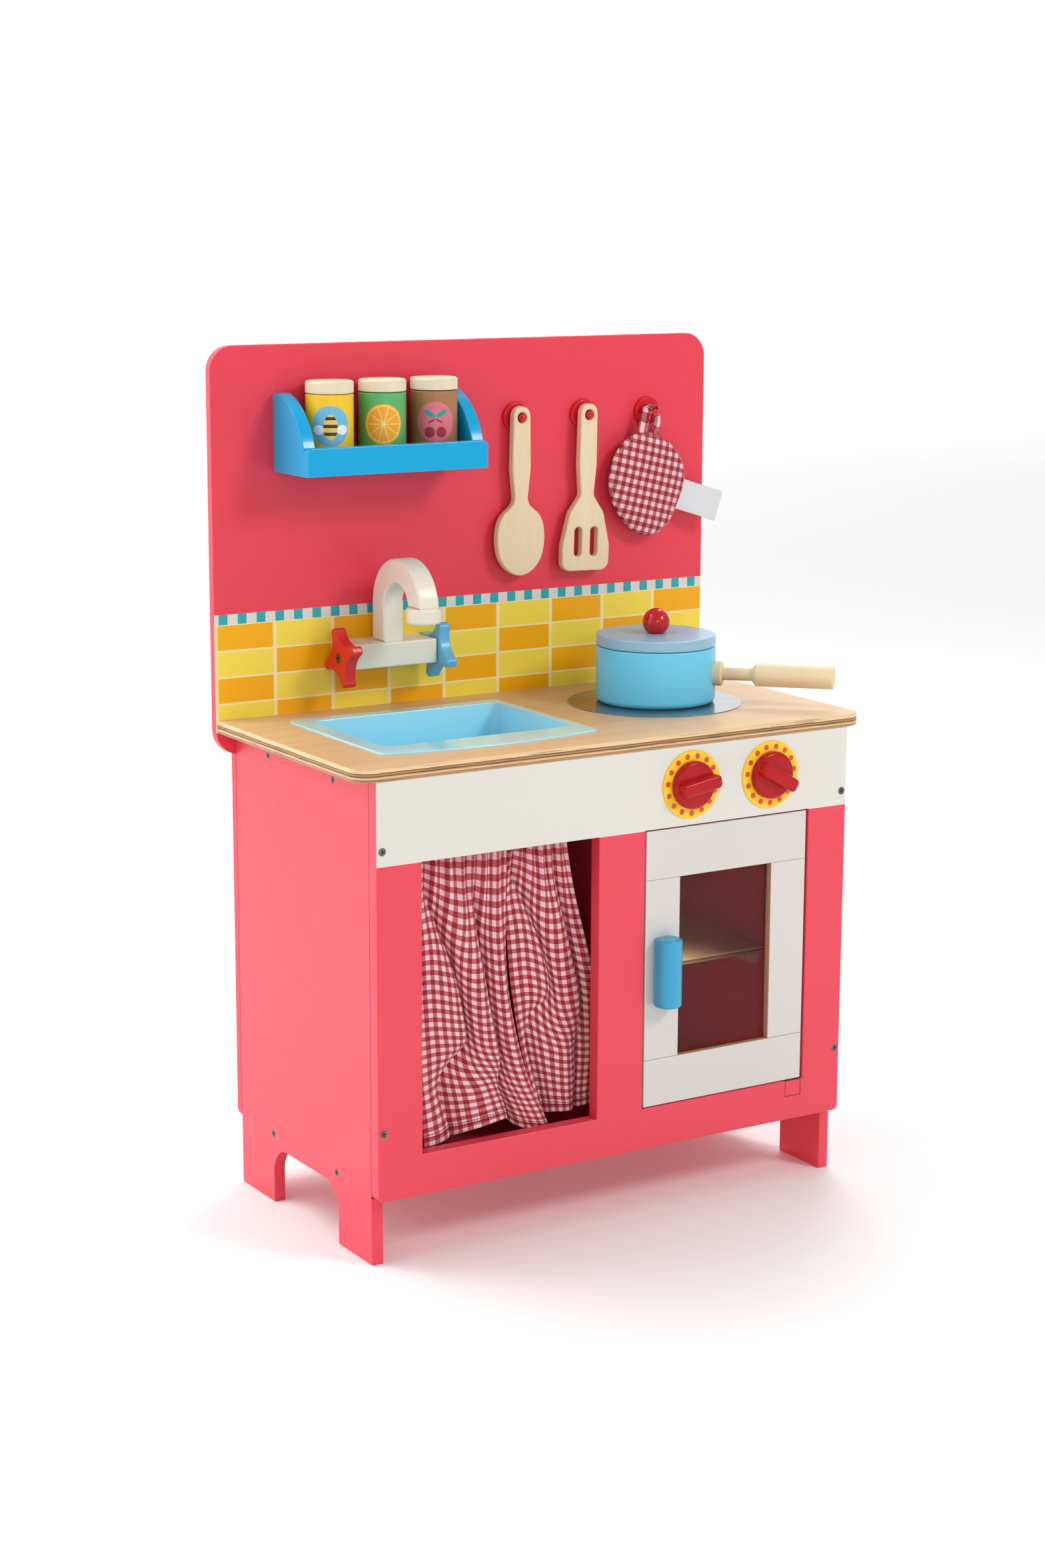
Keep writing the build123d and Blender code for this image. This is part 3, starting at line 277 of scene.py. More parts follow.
def tile_film(place, colour):
    """Running tiles in two colours, cream grout between them, and a teal checker border on top."""
    across, _, up = place.axes()
    column = (across - TILE_LEFT) / TILE_WIDTH
    row = (TILE_TOP - up) / TILE_HEIGHT
    step = column.maths("FLOOR", column) + row.maths("FLOOR", row)
    odd = (step / 2).maths("FRACT", step / 2) > 0.25
    in_column = abs(column.maths("FRACT", column) - 0.5)
    in_row = abs(row.maths("FRACT", row) - 0.5)
    inside_column = in_column < 0.5 - UPRIGHT_GROUT / TILE_WIDTH / 2
    on_tile = inside_column * (in_row < 0.5 - LEVEL_GROUT / TILE_HEIGHT / 2)
    glaze = (place.cloud(60.0) * 0.4).shade(odd.pick(YELLOW_TILE, ORANGE_TILE), 0.92)
    tiles = on_tile.pick(GROUT, glaze)
    checker = (across - CHECKER_LEFT) / CHECKER_PITCH
    teal_square = checker.maths("FRACT", checker) < CHECKER_SIDE / CHECKER_PITCH
    border = teal_square.pick(FASCIA_WHITE, TEAL)
    front = facing(place)[1] < -0.5
    film = (up > TILE_TOP).pick(tiles, border)
    return (front * up.within(WORKTOP_TOP - FILM_TUCK, BORDER_TOP)).pick(colour, film)


coat_nodes(sprayed("red_paint_with_tiles", RASPBERRY, pattern=tile_film, haze=0.35), "back_board")

# Screws, hinge pins and strike plate: zinc-plated steel, bought in. The screws pull the boards
# together through their faces.
zinc, zinc_shader, zinc_place = new_finish("zinc_plate", 0.36)
zinc_shader.inputs["Metallic"].default_value = 1.0
feed(zinc_shader, "Base Color", zinc_place.cloud(300.0, 3.0).pick(paint("4C4C4B"), paint("8C8C88")))
feed(zinc_shader, "Roughness", 0.24 + zinc_place.cloud(500.0, 3.0) * 0.22)
coat_nodes(
    zinc, "side_screws", "front_screws", "back_screws", "star_screws", "hinge_pins", "strike_plate",
    "knob_left_screw", "knob_right_screw",
)

# Worktop and oven shelf: clear-lacquered birch ply. The face veneer's grain runs along the counter,
# and the sanded edge shows the plies and their dark glue lines.
VENEER_PALE = paint("EAC694")
VENEER_DARK = paint("D0A36E")
PLY_PALE = paint("EECB9C")
PLY_MID = paint("C3915F")
PLY_BROWN = paint("9A693C")
GLUE_LINE = paint("40291A")


def lacquered_ply(name, node, roughness):
    """Veneer on the flat faces and plies on the edges of a board that lies level."""
    low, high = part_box(node)
    finish, shader, place = new_finish(name, roughness, 0.08)
    up = place.axes()[2]
    figure = place.stretched((3.0, 34.0, 34.0)).cloud(1.6, 5.0, 0.7)
    pores = place.stretched((26.0, 900.0, 900.0)).cloud(1.0, 2.0)
    veneer = (pores * 0.45).shade(figure.pick(VENEER_DARK, VENEER_PALE), 0.80)
    depth = (up - low.z) / (high.z - low.z) + (place.cloud(55.0) - 0.5) * 0.06
    plies = depth.node(
        "ValToRGB",
        {
            "stops": [
                (0.00, PLY_BROWN), (0.17, PLY_MID), (0.19, GLUE_LINE), (0.25, PLY_PALE),
                (0.38, PLY_MID), (0.41, PLY_BROWN), (0.46, GLUE_LINE), (0.52, PLY_MID),
                (0.62, PLY_BROWN), (0.66, GLUE_LINE), (0.70, PLY_PALE), (1.00, VENEER_PALE),
            ]
        },
        {"Fac": depth},
    )
    streak = place.stretched((18.0, 18.0, 520.0)).cloud(1.5, 4.0) > 0.58
    edge = abs(facing(place)[2]) < 0.6
    feed(shader, "Base Color", edge.pick(veneer, (streak * 0.6).shade(plies, 0.45)))
    feed(shader, "Normal", (pores + figure * 0.5).bump(0.12, 0.0003))
    return finish


coat_nodes(lacquered_ply("worktop_ply", "worktop", 0.44), "worktop")
coat_nodes(lacquered_ply("shelf_ply", "oven_shelf", 0.5), "oven_shelf")

# Battens, cleats, curtain rod and its holders: plain strips and dowel of pale hardwood, sanded and
# left bare, screwed or glued inside the carcass.
BARE_PALE = paint("F7E4C2")
BARE_DARK = paint("E3C799")


def bare_wood(name, grain, turn=(0.0, 0.0, 0.0), pale=BARE_PALE, dark=BARE_DARK, roughness=0.55):
    """Sanded wood: grain holds the small scale along the fibre and the large ones across it."""
    finish, shader, place = new_finish(name, roughness)
    lay = place.node("Mapping", None, {"Vector": place, "Rotation": turn})
    figure = lay.stretched(tuple(g * 28.0 for g in grain)).cloud(1.0, 4.0, 0.8)
    fibre = lay.stretched(tuple(g * 520.0 for g in grain)).cloud(1.0, 2.0)
    tone = (fibre * 0.55).shade(figure.pick(dark, pale), 0.78)
    feed(shader, "Base Color", tone)
    feed(shader, "Roughness", roughness - 0.08 + fibre * 0.16)
    feed(shader, "Normal", (fibre + figure).bump(0.15, 0.0003))
    return finish


ALONG_X = (0.07, 1.0, 1.0)
ALONG_Z = (1.0, 1.0, 0.07)
coat_nodes(
    bare_wood("cleat_wood", ALONG_X), "shelf_battens", "worktop_cleats", "curtain_rod", "rod_holders"
)

# Burner: a thin disc of glazed black board with a paler ring ground round its edge, glued flat on
# the worktop.
burner_low, burner_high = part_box("burner_disc")
BURNER_CENTRE = (burner_low + burner_high) / 2
BURNER_RADIUS = (burner_high.x - burner_low.x) / 2
BURNER_RING = 1.0 * MM
burner_glaze, burner_shader, burner_place = new_finish("burner_glaze", 0.2, 0.6)
from_centre = burner_place.node(
    "VectorMath", {"operation": "DISTANCE"}, {0: burner_place, 1: BURNER_CENTRE}, output="Value"
)
burner_rim = from_centre > BURNER_RADIUS - BURNER_RING
burner_glow = burner_place.cloud(8.0, 2.0).pick(paint("2B2A38"), paint("453F4E"))
feed(burner_shader, "Base Color", burner_rim.pick(burner_glow, paint("5F6B7C")))
feed(burner_shader, "Roughness", 0.14 + burner_place.cloud(90.0, 3.0) * 0.14)
coat_nodes(burner_glaze, "burner_disc")

# Sink: one vacuum-formed tray of pale blue plastic dropped into the worktop, glossy all over. Its blue
# is painted deeper down the bowl as painted shade, and turns paler again at the very bottom.
sink_low, sink_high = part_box("sink_tray")
sink_plastic, sink_shader, sink_place = new_finish("sink_plastic", 0.14, 0.5)
sink_depth = (sink_high.z - sink_place.axes()[2]) / (sink_high.z - sink_low.z)
# Painted shade: the blue deepens with depth down the bowl's walls, then turns paler again at the very bottom.
sink_painted_shade = sink_depth.node(
    "ValToRGB",
    {
        "stops": [
            (0.0, paint("ACE8F8")), (0.35, paint("9FE6FA")), (0.9, paint("90E0FA")), (1.0, paint("ACECFC")),
        ]
    },
    {"Fac": sink_depth},
)
feed(sink_shader, "Base Color", (sink_place.cloud(12.0) * 0.3).shade(sink_painted_shade, 0.9))
feed(sink_shader, "Roughness", 0.10 + sink_place.cloud(30.0) * 0.08)
feed(sink_shader, "Normal", sink_place.cloud(35.0, 1.0).bump(0.08, 0.002))
coat_nodes(sink_plastic, "sink_tray")

# Tap: a turned base block, a bent spout cut from thick ply and a turned nozzle, sprayed cream white.
# Its two star handles are sawn from ply, sprayed red and blue, and turn on screws.
cream = sprayed("tap_cream", paint("EFE6D3"), 0.36, 0.1)
coat_nodes(cream, "tap_base", "tap_spout", "tap_nozzle")
coat_nodes(sprayed("star_red", paint("E02A22"), 0.34, 0.15, haze=0.3), "red_star_handle")
coat_nodes(sprayed("star_blue", paint("62B6DC"), 0.34, 0.2), "blue_star_handle")

# Dials: two discs of thin ply, sprayed yellow, printed with a ring of orange dots and glued to the
# fascia. Their knobs are turned from beech with a grip bar, dipped in deep red gloss.
DIAL_LEFT = 70.1 * MM
DIAL_RIGHT = 154.0 * MM
DIAL_HEIGHT = 380.5 * MM
DOT_RING = 25.2 * MM
DOT_RADIUS = 2.5 * MM
DOTS = 15
DOT_PITCH = math.tau / DOTS


def dial_dots(place, colour):
    """Orange dots at even steps round each dial's centre."""
    across, _, up = place.axes()
    on_right = across > (DIAL_LEFT + DIAL_RIGHT) / 2
    x = across - DIAL_LEFT - on_right * (DIAL_RIGHT - DIAL_LEFT)
    z = up - DIAL_HEIGHT
    angle = z.maths("ARCTAN2", z, x) - math.pi / 2
    step = angle / DOT_PITCH
    offset = (step.maths("FRACT", step) - 0.5) * DOT_PITCH
    radius = (x * x + z * z).maths("SQRT", x * x + z * z)
    along = radius * offset.maths("SINE", offset)
    outward = radius * offset.maths("COSINE", offset) - DOT_RING
    dot = (along * along + outward * outward) < DOT_RADIUS**2
    return dot.pick(colour, paint("D9502A"))


coat_nodes(sprayed("dial_yellow", paint("FFCD12"), 0.4, 0.1, dial_dots), "dial_plates")
knob_gloss = sprayed("knob_red_gloss", paint("B8040F"), 0.26, 0.1, stipple=0.05, haze=0.25)
coat_nodes(knob_gloss, "knob_left", "knob_right")

# Oven door: two rails and two stiles, mortised and glued, sprayed white, with fine open lines where
# they meet and bare edges round the window. A blue dowel handle is glued to the latch stile.
STILE_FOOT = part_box("door_hinge_stile")[0].z
STILE_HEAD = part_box("door_hinge_stile")[1].z
SEAM = 0.45 * MM


LATCH_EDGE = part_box("door_latch_stile")[1].x
HINGE_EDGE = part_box("door_hinge_stile")[0].x


def door_seams(place, colour):
    """A fine dark line at the ends of the stiles, and bare wood on the edges round the window."""
    across, _, up = place.axes()
    seam = up.within(STILE_FOOT - SEAM, STILE_FOOT) + up.within(STILE_HEAD, STILE_HEAD + SEAM)
    sideways, _, upward = facing(place)
    around = across.within(LATCH_EDGE - SEAM, HINGE_EDGE + SEAM)
    around = around * up.within(STILE_FOOT - SEAM, STILE_HEAD + SEAM)
    bare = ((abs(sideways) > 0.5) + (abs(upward) > 0.5)) * around
    return bare.pick((seam * 0.55).pick(colour, paint("8F8A84")), paint("C79F74"))


white_door = sprayed("door_white", paint("D9D4CF"), pattern=door_seams)
coat_nodes(white_door, "door_top_rail", "door_bottom_rail", "door_latch_stile", "door_hinge_stile")
blue_dowel = sprayed("handle_blue", paint("30A4CC"), 0.34, 0.1)
coat_nodes(blue_dowel, "door_handle")

# Oven window: a sheet of smoke-brown acrylic held in the rails' groove, clear enough to show the
# shelf behind it, with faint wipe marks.
smoke, smoke_shader, smoke_place = new_finish("smoke_acrylic", 0.06)
smoke_shader.inputs["Alpha"].default_value = 0.13
feed(smoke_shader, "Base Color", smoke_place.cloud(5.0).pick(paint("464044"), paint("504A4E")))
wipe_marks = smoke_place.stretched((6.0, 6.0, 90.0), (0.0, 0.6, 0.0)).cloud(1.0, 3.0)
feed(smoke_shader, "Roughness", 0.04 + wipe_marks * 0.08)
coat_nodes(smoke, "door_window")

# Magnet catch: a moulded off-white housing screwed inside the frame; it holds the door's strike
# plate.
catch, catch_shader, catch_place = new_finish("catch_plastic", 0.5)
feed(catch_shader, "Base Color", catch_place.cloud(80.0).pick(paint("D8D5CB"), paint("E4E1D8")))
feed(catch_shader, "Normal", catch_place.cloud(1500.0).bump(0.2, 0.0002))
coat_nodes(catch, "magnet_catch")

# Curtains: two panels of red gingham cotton, each with a stitched pocket gathered on the wooden rod
# and a doubled hem. The left one hangs in front of the right one, and both fall in soft folds.
HOLDER_CHECK = 4.1 * MM
CURTAIN_CHECK = 4.3 * MM
GINGHAM_LIGHT = paint("F8D3D5")
GINGHAM_MID = paint("C4656E")
GINGHAM_DARK = paint("A00C1C")
THREAD = 0.55 * MM


def gingham(name, check, over, turn=0.0):
    """Woven checks in three tones. They lie in the cloth's own flat measure, or square to the front."""
    finish, shader, place = new_finish(name, 0.85)
    shader.inputs["Sheen Weight"].default_value = 0.08
    shader.inputs["Sheen Roughness"].default_value = 0.5
    cloth = place.node("UVMap", {"uv_map": over}) if over else place
    turned = cloth.node("Mapping", None, {"Vector": cloth, "Rotation": (0.0, turn, 0.0)})
    first, second, third = turned.axes()
    weft = first / (2 * check)
    warp = (second if over else third) / (2 * check)
    red_weft = weft.maths("FRACT", weft) < 0.5
    red_warp = warp.maths("FRACT", warp) < 0.5
    either = (red_weft + red_warp) > 0.5
    tone = (red_weft * red_warp).pick(either.pick(GINGHAM_LIGHT, GINGHAM_MID), GINGHAM_DARK)
    threads = 2 * check * math.tau / THREAD
    wave_a = weft.maths("SINE", weft * threads)
    wave_b = warp.maths("SINE", warp * threads)
    slub = place.cloud(700.0, 3.0)
    feed(shader, "Base Color", (slub * 0.45).shade(tone, 0.72))
    feed(shader, "Normal", (wave_a * wave_b + slub).bump(0.35, 0.0003))
    return finish


def add_piece(name, body, finish, points, faces, flat_places=None):
    """A new mesh piece that rides on a body. flat_places are its points' places on the flat cloth."""
    mesh = bpy.data.meshes.new(name)
    mesh.from_pydata(points, [], faces)
    if flat_places:
        layer = mesh.uv_layers.new(name="cloth")
        for loop in mesh.loops:
            layer.data[loop.index].uv = flat_places[loop.vertex_index]
    mesh.polygons.foreach_set("use_smooth", [True] * len(mesh.polygons))
    made = bpy.data.objects.new(name, mesh)
    scene.collection.objects.link(made)
    mesh.materials.append(finish)
    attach(made, body)
    return made


def settle(made, *modifiers):
    """Adds modifiers to a piece and applies them to its mesh."""
    for kind, settings in modifiers:
        modifier = made.modifiers.new(kind.lower(), kind)
        for name, value in settings.items():
            setattr(modifier, name, value)
    bpy.context.view_layer.update()
    applied = bpy.data.meshes.new_from_object(made.evaluated_get(bpy.context.evaluated_depsgraph_get()))
    made.modifiers.clear()
    made.data = applied
    return made


def cloth_grid(name, body, slot, finish, place, columns, rows, flat, thickness, across=None):
    """A sheet of cloth whose points are place(u, v), with its flat measure kept as its cloth map.
    across gives the columns' places on the flat cloth where they aren't evenly spaced."""
    points = []
    flat_places = []
    for j in range(rows + 1):
        for i in range(columns + 1):
            u = i / columns
            v = j / rows
            points.append(place(u, v))
            flat_places.append((across[i] if across else u * flat[0], v * flat[1]))
    width = columns + 1
    faces = [
        (j * width + i, j * width + i + 1, (j + 1) * width + i + 1, (j + 1) * width + i)
        for j in range(rows)
        for i in range(columns)
    ]
    made = add_piece(name, body, finish, points, faces, flat_places)
    return settle(made, ("SOLIDIFY", {"thickness": thickness, "offset": 0.0}))


def eased(stops, t):
    """A smooth curve through evenly spaced stops."""
    spans = len(stops) - 1
    i = min(int(t * spans), spans - 1)
    f = t * spans - i
    a = stops[max(i - 1, 0)]
    b = stops[i]
    c = stops[i + 1]
    d = stops[min(i + 2, spans)]
    return b + 0.5 * f * (c - a + f * (2 * a - 5 * b + 4 * c - d + f * (3 * (b - c) + d - a)))


def ramped(t):
    """0 to 1 with level ends."""
    t = min(max(t, 0.0), 1.0)
    return t * t * (3 - 2 * t)


def stitches(name, body, finish, line, count, gap=0.3, thick=0.35 * MM):
    """A row of thread stitches along line(t), each a small spindle lying on the cloth."""
    points = []
    faces = []
    for k in range(count):
        start = line((k + gap / 2) / count)
        end = line((k + 1 - gap / 2) / count)
        along = (end - start).normalized()
        side = along.orthogonal().normalized()
        other = along.cross(side)
        first = len(points)
        points.append(start)
        for share in (0.25, 0.75):
            centre = start.lerp(end, share)
            points += [
                centre + thick * (side * math.cos(turn) + other * math.sin(turn))
                for turn in (0, 1.57, 3.14, 4.71)
            ]
        points.append(end)
        for i in range(4):
            j = (i + 1) % 4
            faces.append((first, first + 1 + j, first + 1 + i))
            faces.append((first + 1 + i, first + 1 + j, first + 5 + j, first + 5 + i))
            faces.append((first + 5 + i, first + 5 + j, first + 9))
    return add_piece(name, body, finish, points, faces)


thread_red, thread_shader, thread_place = new_finish("sewing_thread", 0.7)
feed(thread_shader, "Base Color", thread_place.cloud(900.0).pick(paint("5A0614"), paint("7E0E20")))
curtain_cloth = gingham("curtain_gingham", CURTAIN_CHECK, "cloth")
rod_low, rod_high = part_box("curtain_rod")
ROD_Y = (rod_low.y + rod_high.y) / 2
ROD_Z = (rod_low.z + rod_high.z) / 2
POCKET_RADIUS = 3.9 * MM
POCKET_SHARE = 0.055


def curtain_place(panel, u, v):
    """Where the point (u across, v down) of a flat panel hangs."""
    left_edge, right_edge = panel["edges"]
    shift = 0.02 * math.sin(9.3 * u + panel["start"]) * math.sin(math.pi * u)
    gather = math.sin(math.tau * panel["gathers"] * (u + shift))
    if v < POCKET_SHARE:
        turn = math.radians(-70 + 250 * v / POCKET_SHARE)
        radius = POCKET_RADIUS * (1 + 0.15 * gather)
        x = (left_edge[0] + (right_edge[0] - left_edge[0]) * u) * MM
        return Vector((x, ROD_Y + radius * math.cos(turn), ROD_Z + radius * math.sin(turn)))
    w = (v - POCKET_SHARE) / (1 - POCKET_SHARE)
    opened = ramped(w / 0.3)
    left = eased(left_edge, w) * MM
    width = eased(right_edge, w) * MM - left
    foot = eased(panel["foot"], u) * MM
    knee = ramped(w / panel["knee"]) * (1 - 0.85 * ramped((w - panel["knee"]) / 0.26))
    crest = panel["folds"] * u + panel["start"] - panel["lean"] * knee * math.sin(math.pi * u)
    crest += 0.06 * math.sin(9.5 * w + 4.0 * u + panel["start"])
    bulge = abs(math.cos(math.pi * crest)) ** 0.8 - 0.55
    tuck = 0.085 * math.sin(math.tau * crest) / panel["folds"] * opened * math.sin(math.pi * u)
    x = left + width * (u + tuck)
    sag = panel["sag"] * ramped((u - 0.12) / 0.55) + panel["drape"] * bulge
    z = ROD_Z + (foot - ROD_Z) * w - sag * MM * math.sin(math.pi * w**0.75)
    crease = noise.noise(Vector((x * 55, z * 20, panel["start"]))) * 1.6 * MM * opened
    hang = ROD_Y - POCKET_RADIUS + (panel["middle"] * MM - ROD_Y + POCKET_RADIUS) * ramped(w / 0.25)
    y = hang - panel["depth"] * MM * bulge * opened - 2.4 * MM * gather * (1 - ramped(w / 0.34)) + crease
    return Vector((x, y - HEM_STEP * ramped((v - HEM_TURN) * 200), z))


def along_rows(panel, columns, level=0.6):
    """How far across the flat cloth each column lies, measured along the hanging cloth at one level."""
    row = [curtain_place(panel, i / columns, level) for i in range(columns + 1)]
    run = [0.0]
    for before, after in zip(row, row[1:]):
        run.append(run[-1] + (after - before).length)
    return run


CURTAIN_DROP = 284 * MM
HEM_TURN = 0.955
HEM_STEP = 0.7 * MM
CURTAIN_GRID = (160, 170)
PANELS = {
    "left": {
        "edges": ([-203, -200, -197, -193, -188], [-105.5, -106, -98, -84, -61]),
        "foot": [94, 95, 101, 105, 94, 87],
        "folds": 2.2, "gathers": 8, "depth": 13.0, "middle": -102.3, "start": 0.1, "lean": 0.85, "sag": 26,
        "drape": 7, "knee": 0.6, "anchor": -0.205,
    },
    "right": {
        "edges": ([-104.5, -102, -96, -84, -68], [-47, -26, -11, -9, -16]),
        "foot": [97, 98, 99, 98, 99, 102],
        "folds": 1.7, "gathers": 6, "depth": 9.0, "middle": -93.6, "start": 0.3, "lean": 0.7, "sag": 22,
        "drape": 5, "knee": 0.5, "anchor": -0.040,
    },
}
for side, panel in PANELS.items():
    body = side + "_curtain"
    across = along_rows(panel, CURTAIN_GRID[0])
    flat = (across[-1], CURTAIN_DROP)
    curtain = cloth_grid(
        "curtain_panel_" + side, body, "gingham", curtain_cloth,
        lambda u, v: curtain_place(panel, u, v), *CURTAIN_GRID, flat, 0.45 * MM, across,
    )
    on_front = Vector((0, -0.5 * MM, 0))
    rows = [
        stitches(
            f"hem_stitches_{side}_{i}", body, thread_red,
            lambda t: curtain_place(panel, 0.005 + 0.99 * t, v) + on_front, 60, thick=0.45 * MM,
        )
        for i, v in enumerate((0.962, 0.972))
    ]
    for made in [curtain] + rows:
        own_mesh(made)
    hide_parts("curtain_" + side)

# Saucepan: turned from a block of beech, dipped sky blue, with a bare turned handle glued in its
# side. The lid is a paler turned disc with a red ball for a knob.
coat_nodes(sprayed("pan_blue", paint("6ED8FC"), 0.34, 0.1), "saucepan_body")
coat_nodes(sprayed("lid_blue", paint("98C4DC"), 0.36, 0.15), "saucepan_lid")
coat_nodes(sprayed("ball_red", paint("C8101B"), 0.24, 0.4, haze=0.3), "lid_ball")
HANDLE_TURN = math.radians(-44.4)
coat_nodes(bare_wood("handle_wood", ALONG_X, (0.0, 0.0, -HANDLE_TURN)), "saucepan_handle")

# Spice shelf: four small boards glued in a tray with quarter-round ends, sprayed bright blue and
# fixed to the back board.
shelf_blue = sprayed("shelf_blue", paint("00A9DE"), 0.22, 0.3, haze=0.3)
coat_nodes(shelf_blue, "spice_shelf_board", "spice_shelf_rail", "spice_shelf_ends")

# Spice jars: turned beech, each dipped in its own colour, with a round printed badge on the front
# and a turned lid of bare wood.
JAR_RADIUS = 20.9 * MM
BADGE_TURN = math.radians(26)
BADGE_HEIGHT = 681.5 * MM
BADGE_RADIUS = 17.4 * MM


def badge_plane(place, centre):
    """Places on the badge, measured along the jar's skin and up from the badge's middle, in radii."""
    x, y, z = place.axes()
    turn = (x - centre.x).maths("ARCTAN2", x - centre.x, centre.y - y) + BADGE_TURN
    return turn * (JAR_RADIUS / BADGE_RADIUS), (z - BADGE_HEIGHT) / BADGE_RADIUS


def oval(across, up, centre, size):
    """1 inside an ellipse on the badge."""
    x = (across - centre[0]) / size[0]
    z = (up - centre[1]) / size[1]
    return (x * x + z * z) < 1.0


def hive_badge(across, up):
    """A striped yellow hive between two white clouds on pale blue."""
    stripe = up * 2.6 + 0.2
    hive = (stripe.maths("FRACT", stripe) < 0.42).pick(paint("F4C95A"), paint("2E2416"))
    left = oval(across, up, (-0.62, -0.18), (0.30, 0.24))
    right = oval(across, up, (0.62, -0.18), (0.30, 0.24))
    clouds = left.maths("MAXIMUM", left, right)
    sky = clouds.pick(paint("6FBEE0"), paint("EEF3F4"))
    return oval(across, up, (0.0, -0.05), (0.36, 0.62)).pick(sky, hive)


def citrus_badge(across, up):
    """A slice of citrus with ten segments."""
    angle = up.maths("ARCTAN2", up, across) * (10 / math.tau)
    segment = abs(angle.maths("FRACT", angle) - 0.5)
    radius = (across * across + up * up).maths("SQRT", across * across + up * up)
    pith = ((0.5 - segment) * radius) < 0.035
    flesh = pith.pick(paint("F4A81E"), paint("FBD878"))
    return radius.within(0.86, 0.93).pick(flesh, paint("FBD878"))


def berry_badge(across, up):
    """Two red berries under a pair of leaves on pink."""
    left = oval(across, up, (-0.30, -0.52), (0.27, 0.27))
    right = oval(across, up, (0.30, -0.52), (0.27, 0.27))
    bend = abs(across) * 0.55 + up
    stalk = abs(across).within(0.03, 0.36) * bend.within(0.10, 0.20)
    tilt = abs(across) * 0.7
    leaf = oval(abs(across), up - tilt * 0.6, (0.32, 0.28), (0.30, 0.14))
    pink = paint("E0717E")
    return (left + right + stalk).pick(leaf.pick(pink, paint("1E9A93")), paint("A3123A"))


def badged(motif, centre):
    """A dipped jar colour with a badge printed on it."""

    def pattern(place, colour):
        across, up = badge_plane(place, centre)
        inside = (across * across + up * up) < 1.0
        return inside.pick(colour, motif(across, up))

    return pattern


JARS = {
    "yellow_jar": ("F7CB1C", hive_badge),
    "green_jar": ("58B368", citrus_badge),
    "brown_jar": ("A8744A", berry_badge),
}
for jar, (code, motif) in JARS.items():
    jar_low, jar_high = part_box(jar)
    jar_paint = sprayed(jar + "_paint", paint(code), 0.36, 0.15, badged(motif, (jar_low + jar_high) / 2))
    coat_nodes(jar_paint, jar)
coat_nodes(
    bare_wood("lid_wood", ALONG_Z, pale=paint("F8EDD6"), dark=paint("E6D3AE")),
    "yellow_jar_lid", "green_jar_lid", "brown_jar_lid",
)

# Hooks: three turned discs with a peg, sprayed bright red and screwed to the back board from behind.
coat_nodes(sprayed("hook_red", paint("D81A26"), 0.3, 0.2, haze=0.3), "hooks")

# Spoon and slotted spatula: sawn from pale beech board, edges rounded, left bare, hung on the pegs
# by a hole in the handle.
coat_nodes(bare_wood("utensil_wood", ALONG_Z, pale=paint("F9E2BE"), dark=paint("E8CB9E")), "spoon", "spatula")

# Pot holder: two rounds of gingham with wadding between them, turned out, pressed and topstitched
# near the edge, so the middle swells and the rim pulls in.
HOLDER_CENTRE = Vector((184.0 * MM, 119.6 * MM, 611.0 * MM))
HOLDER_HARMONICS = ((-0.1, 2.03), (-3.04, -0.71), (0.14, 1.32), (0.68, 0.78))
HOLDER_MEAN = 44.6
HOLDER_SWELL = 4.6 * MM
HOLDER_RIM = 0.9 * MM
HOLDER_TURN = math.radians(-14)
holder_cloth = gingham("holder_gingham", HOLDER_CHECK, None, HOLDER_TURN)


def holder_reach(angle):
    """The outline's distance from the middle at an angle."""
    reach = HOLDER_MEAN
    for k, (cosine, sine) in enumerate(HOLDER_HARMONICS, 1):
        reach += cosine * math.cos(k * angle) + sine * math.sin(k * angle)
    return reach * MM


def holder_point(angle, share, face):
    """A point of the front (face -1) or the back (face 1), share of the way out to the rim."""
    out = holder_reach(angle) * share
    x = HOLDER_CENTRE.x + out * math.cos(angle)
    z = HOLDER_CENTRE.z + out * math.sin(angle)
    pull = ramped((share - 0.55) / 0.4)
    ripple = 0.45 * MM * math.sin(23 * angle + 2.5 * math.sin(3 * angle)) * pull * (1 - share**8)
    lump = noise.noise(Vector((x * 45, face * 3.0, z * 45))) * 0.9 * MM * (1 - share**4)
    swell = HOLDER_SWELL * (1 - share**3.2) ** 0.6 + HOLDER_RIM
    sway = noise.noise(Vector((x * 14, 7.0, z * 14))) * 1.6 * MM
    return Vector((x, HOLDER_CENTRE.y + sway + face * (swell + ripple + lump), z))


SPOKES = 120
RINGS = 26
holder_points = []
holder_faces = []
for face in (-1, 1):
    first = len(holder_points)
    holder_points.append(holder_point(0.0, 0.0, face))
    for ring in range(1, RINGS + 1):
        for spoke in range(SPOKES):
            holder_points.append(holder_point(math.tau * spoke / SPOKES, ring / RINGS, face))
    for spoke in range(SPOKES):
        after = (spoke + 1) % SPOKES
        fan = (first, first + 1 + spoke, first + 1 + after)
        holder_faces.append(fan[::face])
        for ring in range(RINGS - 1):
            a = first + 1 + ring * SPOKES
            quad = (a + spoke, a + SPOKES + spoke, a + SPOKES + after, a + after)
            holder_faces.append(quad[::face])
front_rim = 1 + (RINGS - 1) * SPOKES
back_rim = front_rim + 1 + RINGS * SPOKES
for spoke in range(SPOKES):
    after = (spoke + 1) % SPOKES
    holder_faces.append((front_rim + spoke, front_rim + after, back_rim + after, back_rim + spoke))
holder = add_piece(
    "pot_holder_pad", "pot_holder_body", holder_cloth, holder_points, holder_faces
)
settle(holder, ("SUBSURF", {"levels": 1, "render_levels": 1}))
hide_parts("pot_holder")
pink_thread, pink_shader, pink_place = new_finish("holder_thread", 0.7)
feed(pink_shader, "Base Color", pink_place.cloud(900.0).pick(paint("D98A93"), paint("F0B9BE")))
STITCH_SHARE = 0.955
